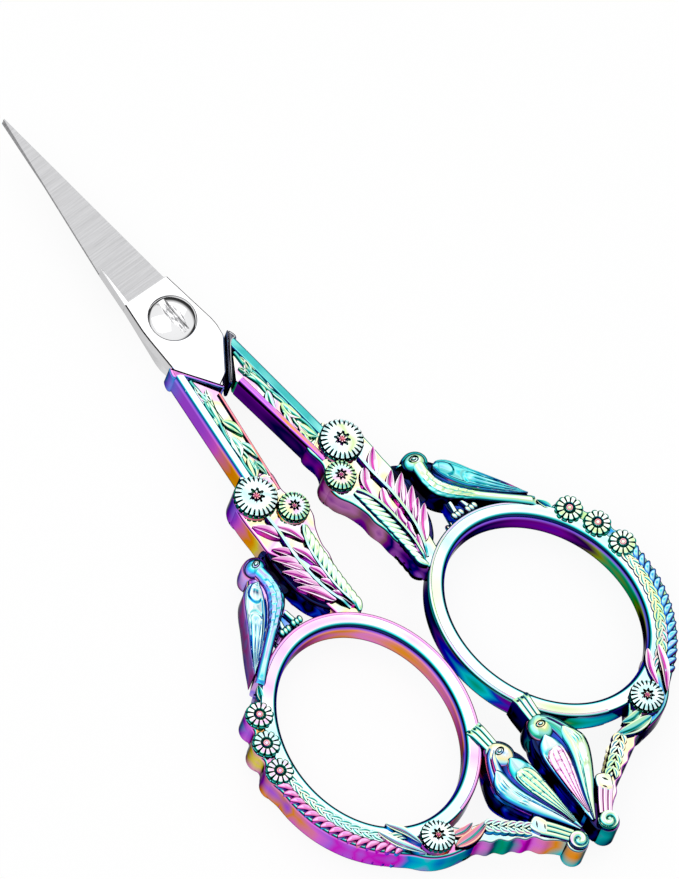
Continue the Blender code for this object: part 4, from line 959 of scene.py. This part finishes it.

# Each plating's seed and its colours on the flat, on slopes and on walls, with the painted highlights and painted
# shade in them.
# Then, if not 1, 1 and none, its grain, the walls' calm and their run. A run is (start, x, y): the colours go round
# once for each 1 / x or 1 / y metres.
PLATINGS_WITH_PAINTED_LIGHT = {
    "rail_left": (3, "WHITE ICE WHITE WHITE", "6 WHITE 14 ICE 24 CYAN 36 SHADE 50 AZURE 68 BLUE 80 VIOLET",
        "AZURE IRIS MAUVE MAUVE FUCHSIA ORANGE YELLOW", 0.5, 0.2, (1, 0, -50)),
    "rail_right": (4, "SHADE SEA FOAM SEA JADE", "6 CYAN 16 SHADE 30 FOAM 42 SEA 56 AZURE 75 BLUE", "bright walls",
        0.5),
    "inner_left": (5, "ORANGE ROSE PINK RUST CREAM", "10 ORANGE 20 ROSE 32 RUST 45 PLUM 60 INK 78 INK", "night walls",
        0.5),
    # Plum walls: painted shade between the handles.
    "inner_right": (6, "PINK FUCHSIA LILAC FUCHSIA ORANGE MAUVE",
        "8 PINK 20 FUCHSIA 34 VIOLET 46 PURPLE 58 DEEP 70 INK 80 PLUM", "PLUM DEEP PLUM DEEP PURPLE", 0.4, 0.6),
    "sprig": (36, "WHITE FOAM CREAM SHADE LIME BLUSH FOAM",
        "10 WHITE 20 LIME 30 FOAM 40 SHADE 52 GREEN 64 TEAL 76 INK", "SHADE INK GREEN TEAL", 1.6),
    "border": (45, "SHADE FOAM SEA GREEN", "10 FOAM 24 SHADE 40 GREEN 55 TEAL 75 INK", "TEAL INK GREEN TEAL", 1.5),
    "relief": (7, "warm", "green slopes", "SHADE INK GREEN TEAL", 1.3),
    "collar_left": (8, "BLUSH LILAC PEARL PINK PURPLE",
        "10 BLUSH 20 FUCHSIA 34 MAUVE 46 IRIS 56 AZURE 66 CYAN 75 AZURE", "CYAN AZURE CYAN IRIS AZURE", 1, 0.5),
    "collar_right": (33, "GREY WHITE AZURE GREY INK ICE", "10 WHITE 22 GREY 34 INK 50 PLUM 60 GREY 75 AZURE",
        "INK PLUM NAVY INK"),
    "plate_left": (9, "warm", "10 WHITE 20 BLUSH 36 PINK 54 MAGENTA 64 PLUM 72 INK 80 VIOLET",
        "IRIS MAUVE FUCHSIA ORANGE YELLOW PINK MAUVE", 1, 0.35, (0.2, 0, -90)),
    # Dark purple walls: painted shade where the right handle's walls face the left handle.
    "plate_right": (10, "warm", "green slopes", "PURPLE DUSK DEEP HEATHER WINE PURPLE NAVY GRAPE", 1, 0.6),
    "pink": (11, "WHITE BLUSH WHITE PINK", "leaf slopes", "PLUM INK MAGENTA"),
    "green": (12, "cool", "green slopes", "TEAL INK NAVY"),
    "rib": (13, "ICE WHITE ICE LIME", "15 ICE 30 CYAN 50 TEAL 75 INK", "night walls"),
    # Black all over: painted shade for the slot and the tail's web.
    "night": (14, "night walls", "night slopes", "NAVY INK BLUE NAVY INK"),
    "flower": (15, "cool", "12 WHITE 30 ICE 44 CYAN 54 GREEN 64 TEAL 74 INK", "TEAL INK GREEN INK"),
    "small_petal": (39, "LIME CREAM BLUSH ICE WHITE", "green slopes", "TEAL INK GREEN INK", 1.4),
    "daisy": (34, "WHITE LIME WHITE ICE BLUSH", "green slopes", "TEAL INK GREEN INK"),
    "heart": (17, "PINK WHITE ORANGE", "10 BLUSH 24 ORANGE 40 ROSE 54 MAGENTA 64 INK 78 MAGENTA", "MAGENTA INK"),
    "ring_left": (18, "WHITE WHITE BLUSH WHITE ICE", "ring slopes", "ORANGE COPPER ORANGE CORAL PINK ORANGE VIOLET",
        0.3),
    "ring_right": (19, "WHITE WHITE LIME WHITE ICE", "ring slopes", "OLIVE GREEN CYAN BLUE PURPLE PLUM", 0.3),
    "edge_left": (47, "BLUSH PINK LILAC BLUSH FUCHSIA", "10 BLUSH 25 PINK 45 FUCHSIA 60 NAVY 75 SHADE",
        "MAGENTA NAVY SHADE", 0.4),
    "edge_right": (48, "BLUSH LIME LILAC FOAM PINK", "10 BLUSH 25 FOAM 45 SEA 60 NAVY 75 SHADE", "PURPLE NAVY SHADE",
        0.4),
    "body_left": (20, "LILAC BLUSH AZURE LILAC", "12 LILAC 26 VIOLET 38 FUCHSIA 50 BLUE 62 INK 72 YELLOW 80 PINK",
        "BLUSH LILAC PINK LILAC HAZE", 1, 0.6),
    # Dark all over: painted shade for the hanging bird's body in the crevice under its cape and wings, and for the
    # right perched bird's body.
    "body_right": (21, "NAVY BLUE INK PURPLE", "night slopes", "NAVY INK BLUE INK NAVY"),
    "sky": (22, "ICE WHITE CYAN WHITE", "sky slopes", "AZURE NAVY LILAC BLUE"),
    "breast_left": (46, "CYAN ICE LILAC IRIS ICE LILAC", "10 ICE 22 CYAN 34 AZURE 48 IRIS 60 NAVY 72 PINK",
        "LILAC PINK LILAC BLUSH IRIS", 1.2),
    "wing_left": (37, "AZURE BLUE CYAN NAVY ICE AZURE", "sky slopes", "BLUSH LILAC PINK LILAC IRIS", 1.3),
    "wing_right": (38, "SEA CYAN ICE AZURE FOAM", "10 FOAM 24 CYAN 38 SHADE 52 AZURE 64 NAVY 78 PINK",
        "BLUE NAVY TEAL", 1.2),
    "sea": (23, "cool", "mead slopes", "night walls"),
    "sun": (24, "WHITE CREAM LIME BLUSH", "mead slopes", "night walls"),
    "warm_leaf": (40, "PEARL ORANGE CREAM BLUSH", "10 PEARL 22 ORANGE 34 PINK 46 FOAM 60 SHADE 74 NAVY",
        "night walls"),
    "rose": (25, "WHITE CREAM BLUSH", "leaf slopes", "night walls"),
    "head_left": (41, "ICE PINK WHITE AZURE CREAM", "10 WHITE 24 CREAM 36 ICE 48 AZURE 60 FUCHSIA 72 NAVY",
        "NAVY PURPLE BLUE", 1.3),
    "head_right": (42, "LIME PINK FOAM CREAM BLUSH", "10 LIME 22 FOAM 36 GREEN 48 SHADE 60 PINK 72 INK",
        "NAVY PURPLE TEAL", 1.3),
    "cape_left": (43, "PINK AZURE CREAM BLUE FUCHSIA ICE", "10 ICE 24 AZURE 38 BLUE 50 NAVY 60 FUCHSIA 72 ORANGE",
        "PINK ORANGE BLUE", 1.3),
    "cape_right": (44, "FOAM LIME SEA YELLOW PINK", "10 FOAM 24 GREEN 38 SEA 50 CYAN 60 FUCHSIA 72 NAVY",
        "NAVY PURPLE TEAL", 1.3),
    "fold": (26, "FOAM PINK ICE LIME LILAC", "10 ICE 24 CYAN 38 SHADE 50 BLUE 60 FUCHSIA 72 YELLOW", "night walls"),
    "cord_left": (27, "ROSE PINK MAGENTA BLUSH", "12 BLUSH 26 PINK 40 ROSE 52 MAGENTA 64 PLUM 74 INK",
        "bright walls"),
    # Deep walls: painted shade on the right handle.
    "cord_right": (28, "AZURE CYAN LILAC", "12 ICE 26 AZURE 42 BLUE 58 PURPLE 75 INK", "deep walls"),
    "rim_left": (29, "CREAM ORANGE SHADE PINK", "rim slopes",
        "MAUVE FUCHSIA YELLOW FUCHSIA MAUVE ORANGE FUCHSIA MAUVE MAGENTA MAUVE AZURE CYAN", 1, 0.3, (0.42, 0, -29)),
    # Deep walls: painted shade on the right handle.
    "rim_right": (30, "SHADE NAVY LIME AZURE", "rim slopes", "deep walls"),
    "column_left": (31, "WHITE CREAM BLUSH ICE", "bud slopes",
        "MAGENTA FUCHSIA SHADE GREEN SEA MAGENTA FUCHSIA ORANGE CYAN", 1, 0.25, (0.07, 83, 0)),
    "column_right": (35, "WHITE CREAM BLUSH ICE", "10 BLUSH 26 PINK 42 FUCHSIA 56 MAUVE 68 PURPLE 80 INK",
        "PURPLE DEEP SEA NAVY"),
    "bud": (32, "WHITE CREAM ICE LIME", "bud slopes", "PINK SHADE INK AZURE")}

platings_with_painted_light = {name: rainbow(name, *looks) for name, looks in PLATINGS_WITH_PAINTED_LIGHT.items()}


def steel(name, colour, rough, scale=(400, 400, 400), dark=0.97, marks=None):
    """Steel with marks as fine as scale says along each axis."""
    made, tree, shader = nodes_of(name, Metallic=1.0, Specular_Tint=(0.15, 0.15, 0.15, 1))
    stretch = new_node(tree, "Mapping", Scale=scale, Rotation=(0, 0, math.radians(12)),
                   Vector=new_node(tree, "TexCoord").outputs["Object"])
    fac = new_node(tree, "TexNoise", Scale=1.0, Detail=6, Roughness=0.65, Vector=stretch.outputs[0]).outputs["Fac"]
    stops = marks or [(0.3, tuple(c * dark for c in colour)), (0.7, colour)]
    put(tree, shader.inputs["Base Color"], ramp(tree, stops, fac))
    spread = new_node(tree, "MapRange", To_Min=rough * 0.8, To_Max=rough * 1.25, Value=fac)
    put(tree, shader.inputs["Roughness"], spread.outputs[0])
    return made


SCREW_GREY = (0.9, 0.9, 0.91)
satin_steel = steel("satin_steel", (0.56, 0.56, 0.57), 0.36, (110, 6500, 900), 0.72)
polished_steel = steel("polished_steel", (0.93, 0.93, 0.94), 0.06)
# The screw's slot: streaks going down to near black are painted shade in the slot, with the steel's grey between
# them.
slot_steel = steel("slot_steel", SCREW_GREY, 0.16, (2600, 700, 2600),
                   marks=[(0.3, (0.12,) * 3), (0.44, (0.35, 0.35, 0.36)), (0.5, SCREW_GREY)])
screw_steel = steel("screw_steel", SCREW_GREY, 0.03)


# Pieces

WELD, SLIVER = 2e-7, 1e-7  # metres between points that become one, and along an edge too short to keep
TURN = Matrix.Translation(PIVOT * MM) @ Matrix.Rotation(math.pi, 4, "Y") @ Matrix.Translation(-PIVOT * MM)


def build(name, solids, materials, sharp=38, surfaces=None):
    """One mesh object from a list of solids, with its points in the pivot frame's millimetres."""
    points, faces, tags = [], [], []
    start = 0
    for k, (solid_points, solid_faces) in enumerate(solids):
        points.append(solid_points)
        for block in solid_faces:
            for face in block:
                faces.append([int(i) + start for i in face])
                tags.append(surfaces[k] if surfaces else 0)
        start += len(solid_points)
    points = (np.vstack(points) + np.array(PIVOT)) * MM
    mesh = bpy.data.meshes.new(name)
    mesh.from_pydata([tuple(p) for p in points], [], faces)
    mesh.polygons.foreach_set("material_index", tags)
    bm = bmesh.new()
    bm.from_mesh(mesh)
    bmesh.ops.remove_doubles(bm, verts=bm.verts, dist=WELD)
    bmesh.ops.dissolve_degenerate(bm, edges=bm.edges, dist=SLIVER)
    bmesh.ops.recalc_face_normals(bm, faces=bm.faces)
    for face in bm.faces:
        if len(face.verts) > 8:
            for edge in face.edges:
                edge.smooth = False
    bm.to_mesh(mesh)
    bm.free()
    mesh.shade_smooth()
    mesh.set_sharp_from_angle(angle=math.radians(sharp))
    for material in materials:
        mesh.materials.append(material)
    obj = bpy.data.objects.new(name, mesh)
    bpy.context.scene.collection.objects.link(obj)
    return obj


def handle_piece(maker, left, right=None, skirted=False):
    """A piece on the left handle, and on the right the same one turned half round or, if skirted, mirrored."""
    name = maker.__name__
    one = build("left_" + name, maker(), [platings_with_painted_light[left]])
    if maker is inner_rail:
        two = build("right_" + name, inner_rail(RIGHT_RAIL_WIDTH), [platings_with_painted_light[right]])
    else:
        two = bpy.data.objects.new("right_" + name, one.data.copy())
        bpy.context.scene.collection.objects.link(two)
    two.data.name = "right_" + name
    two.data.transform(Matrix.Diagonal((-1, 1, 1, 1)) if skirted else TURN)
    if skirted:
        two.data.flip_normals()
    two.data.materials[0] = platings_with_painted_light[right or left]
    for obj, body, node in ((one, "left_half", "left_handle"), (two, "right_half", "right_handle")):
        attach(obj, body)
        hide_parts(node)


# Maker, plating on the left and, if another, on the right, and whether the right one is mirrored
PIECES = [
    (shank, "relief"),
    (outer_rail, "rail_left", "rail_right"),
    (inner_rail, "inner_left", "inner_right"),
    (shank_relief, "sprig"),
    (panel_edge, "border"),
    (collar, "collar_left", "collar_right"),
    (spray_plate, "plate_left", "plate_right", True),
    # The slot is plated black: painted shade.
    (slot, "night", "night", True),
    (broad_leaf, "pink"),
    (leaf_ribs, "rib"),
    (narrow_leaf, "green"),
    (flowers, "flower"),
    (small_flowers, "small_petal"),
    (flower_drums, "plate_left", "plate_right", True),
    (flower_hearts, "heart"),
    (ring, "ring_left", "ring_right"),
    (ring_edge, "edge_left", "edge_right"),
    (perched_body, "body_left", "body_right"),
    (perched_head, "breast_left", "sea"),
    (perched_wing, "wing_left", "wing_right"),
    (perched_eye, "flower"),
    (perched_edge, "body_left", "fold"),
    (feet, "green", "bud"),
    (daisies, "daisy"),
    (rim, "rim_left", "rim_right", True),
    (fern, "cord_left", "cord_right"),
    (fern_leaves, "green", "sun"),
    (corner, "flower"),
    (side_leaves, "bud", "rose"),
    (corner_leaf, "warm_leaf", "sun"),
    (bracket, "column_left", "column_right", True),
    (bracket_leaves, "bud"),
    (bracket_collar, "bud"),
    (bracket_stem, "sun", "rose"),
    (scroll, "sun", "green"),
    (neck, "green", "sun"),
    (hanging_body, "body_right"),
    # The tail's web is plated black: painted shade.
    (tail_web, "night", "night", True),
    (hanging_head, "head_left", "head_right"),
    (hanging_eye, "flower"),
    (hanging_cape, "cape_left", "cape_right"),
    (hanging_wing, "sky", "sea"),
    (hanging_fold, "fold", "sky"),
    (hanging_quills, "sun", "rose")]

for piece in PIECES:
    handle_piece(*piece)


# Blades and screw


def chamfered(outline, top, low, width):
    """A plate whose edges are cut at a shallow angle towards +x and +y and a steep one elsewhere."""
    dense = []
    for a, b in zip(outline, np.roll(outline, -1, 0)):
        nudge = (b - a) / np.linalg.norm(b - a) * min(0.15, np.linalg.norm(b - a) / 3)
        dense += [a + nudge, b - nudge]
    dense = anticlockwise(np.array(dense))
    inward = sides(dense, closed=True)
    away = -(inward @ np.array((0.86, 0.5)))
    drop = width * np.where(away > 0.1, 0.5, 1.3)
    return tower([np.column_stack((dense, np.full(len(dense), low))), np.column_stack((dense, top - drop)),
                  np.column_stack((dense + inward * width, np.full(len(dense), top)))])


def blade_solids(hidden):
    """A blade: its polished heel, the strip beside the cutting side, and the ground wedge."""
    heel = [(2.85, 4.78), (3.55, 0.0), (3.93, -2.6), (3.97, -3.6), (3.72, -5.2), (0.79, -9.2), (-0.9, -10.15),
            (-4.08, -6.5), (-4.1, -0.5), (-4.05, 0.8), (-3.62, 4.7)]
    solids = [chamfered(np.array(heel), 1.8, 0.1, 0.13)]
    if not hidden:
        strip = [(-3.66, 4.5), (-3.12, 9.8), (-3.02, 9.6), (-3.06, 5.0), (-3.1, 4.5)]
        solids.append(prism(strip, 1.79, 0.04, 2, low=0.1))
    left = [(-3.0, 4.8), (-2.45, 9.8)] if hidden else [(-3.62, 4.8), (-3.12, 9.8)]
    wedge = np.array([(0.06, 32.0), (2.65, 4.85), (2.6, 3.9), (-2.9, 3.9), *left, (-0.06, 32.0)])
    a, b, c = Vector((2.65, 4.8, 1.4)), Vector((-3.0, 4.8, 0.6)), Vector((0, 32, 0.6))
    normal = (b - a).cross(c - a).normalized()
    height = a.z - (normal.x * (wedge[:, 0] - a.x) + normal.y * (wedge[:, 1] - a.y)) / normal.z
    return solids + [tower([np.column_stack((wedge, np.full(len(wedge), 0.1))), np.column_stack((wedge, height))])]


def screw_solid():
    """The screw, turned from its profile of (radius, height)."""
    bend, top, rim = 4.75, 2.98, 2.72
    profile = [(rim * k / 24, top - bend + math.sqrt(bend**2 - (rim * k / 24) ** 2)) for k in range(1, 25)]
    profile += [(2.84, 2.0), (2.93, 1.92), (2.98, 1.86), (3.0, 1.82), (3.0, 1.78), (1.6, 1.78), (1.6, 0.0)]
    profile += [(1.25, 0.0), (1.25, -1.8)]
    n = 120
    rings = [np.column_stack((oval(r, r, n), np.full(n, z))) for r, z in profile]
    return np.vstack([(0, 0, top), *rings, (0, 0, -1.8)]), rounds(len(rings), n, True)


upper = build("upper_blade_steel", blade_solids(False), [polished_steel, satin_steel], 18, [0, 0, 1])
lower = build("lower_blade_steel", blade_solids(True), [polished_steel, satin_steel], 18, [0, 1])
lower.data.transform(TURN)
for obj, body, node in ((upper, "left_half", "upper_blade"), (lower, "right_half", "lower_blade")):
    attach(obj, body)
    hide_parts(node)

screw = build("pivot_screw_steel", [screw_solid()], [screw_steel], 30)
slot_section = [(-0.52, 2.3), (0.52, 2.3), (0.52, 2.6), (0.78, 2.91), (0.78, 3.3), (-0.98, 3.3), (-0.98, 2.93),
                (-0.52, 2.68)]
slot_walls = [[k, (k + 1) % 8, (k + 1) % 8 + 8, k + 8] for k in range(8)]
cutter = build("slot_cutter", [(np.array([(x, y, z) for y in (-4, 4) for x, z in slot_section]),
                                [slot_walls, [list(range(7, -1, -1)), list(range(8, 16))]])], [slot_steel])
cutter.data.transform(Matrix.Translation(PIVOT * MM) @ Matrix.Rotation(math.radians(2), 4, "Z")
                      @ Matrix.Translation(-PIVOT * MM))
cut = screw.modifiers.new("Slot", "BOOLEAN")
cut.operation, cut.solver, cut.object = "DIFFERENCE", "EXACT", cutter
cut.material_mode = "TRANSFER"
bpy.context.view_layer.update()
carved = bpy.data.meshes.new_from_object(screw.evaluated_get(bpy.context.evaluated_depsgraph_get()))
screw.modifiers.clear()
screw.data = carved
bpy.data.objects.remove(cutter)
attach(screw, "right_half")
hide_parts("pivot_screw")


# Studio


def flat_light(name, location, power):
    """A square light that looks at the part."""
    data = bpy.data.lights.new(name, "AREA")
    data.shape = "RECTANGLE"
    data.size = data.size_y = 0.6
    data.energy = power
    obj = bpy.data.objects.new(name, data)
    obj.location = location
    obj.rotation_euler = (-Vector(location)).to_track_quat("-Z", "Y").to_euler()
    bpy.context.scene.collection.objects.link(obj)


floor_mesh = bpy.data.meshes.new("floor")
floor_mesh.from_pydata([(-3, -3, 0), (3, -3, 0), (3, 3, 0), (-3, 3, 0)], [], [(0, 1, 2, 3)])
floor = bpy.data.objects.new("floor", floor_mesh)
bpy.context.scene.collection.objects.link(floor)
floor.location.z = -0.0001
paper, tree, shader = nodes_of("floor_paper", Base_Color=(0.9, 0.9, 0.9, 1), Roughness=0.9)
seen = new_node(tree, "LightPath").outputs
ray = calc(tree, "ADD", seen["Is Camera Ray"], seen["Is Glossy Ray"], use_clamp=True)
ray = calc(tree, "ADD", ray, seen["Is Transmission Ray"], use_clamp=True)
glow = new_node(tree, "Emission", Color=(1, 1, 1, 1), Strength=1.0)
mixer = new_node(tree, "MixShader", Fac=calc(tree, "MULTIPLY", ray, 0.9))
put(tree, mixer.inputs[1], shader.outputs[0])
put(tree, mixer.inputs[2], glow.outputs[0])
put(tree, tree.nodes["Material Output"].inputs["Surface"], mixer.outputs[0])
floor_mesh.materials.append(paper)

world = bpy.data.worlds.new("studio")
bpy.context.scene.world = world
world.use_nodes = True
tree = world.node_tree
apart = new_node(tree, "SeparateXYZ", Vector=new_node(tree, "TexCoord").outputs["Generated"])
sky = [(place, (grey,) * 3) for place, grey in ((0.0, 0.02), (0.22, 0.05), (0.38, 0.95), (1.0, 1.0))]
background = tree.nodes["Background"]
put(tree, background.inputs["Color"], ramp(tree, sky, calc(tree, "ADD", apart.outputs["Z"], 0.0, use_clamp=True)))
background.inputs["Strength"].default_value = 1.0

flat_light("key", (-0.25, 0.15, 0.55), 0.7)
flat_light("fill", (0.35, 0.25, 0.5), 0.4)

# Camera at the photograph's angle
LENS, SENSOR = 2000.0, 36.0
PIXEL = MM / 8.46  # metres of the part to one pixel of the photograph
PHOTO_HEIGHT = 879
right = Vector((0.7664, -0.6173, 0.1774)).normalized()
down = Vector((-0.5092, -0.7524, -0.4179))
down = (down - right * down.dot(right)).normalized()
back = right.cross(-down).normalized()
target = PIVOT * MM + right * (169.7 * PIXEL) + down * (115.0 * PIXEL)
data = bpy.data.cameras.new("camera")
data.sensor_fit = "VERTICAL"
data.sensor_height = SENSOR
data.lens = LENS
data.clip_start, data.clip_end = 0.05, 20
camera = bpy.data.objects.new("camera", data)
spin = Matrix((right, -down, back)).transposed().to_4x4()
camera.matrix_world = Matrix.Translation(target + back * (PHOTO_HEIGHT * PIXEL * LENS / SENSOR)) @ spin
bpy.context.scene.collection.objects.link(camera)
bpy.context.scene.camera = camera
bpy.context.scene.view_settings.view_transform = "Standard"
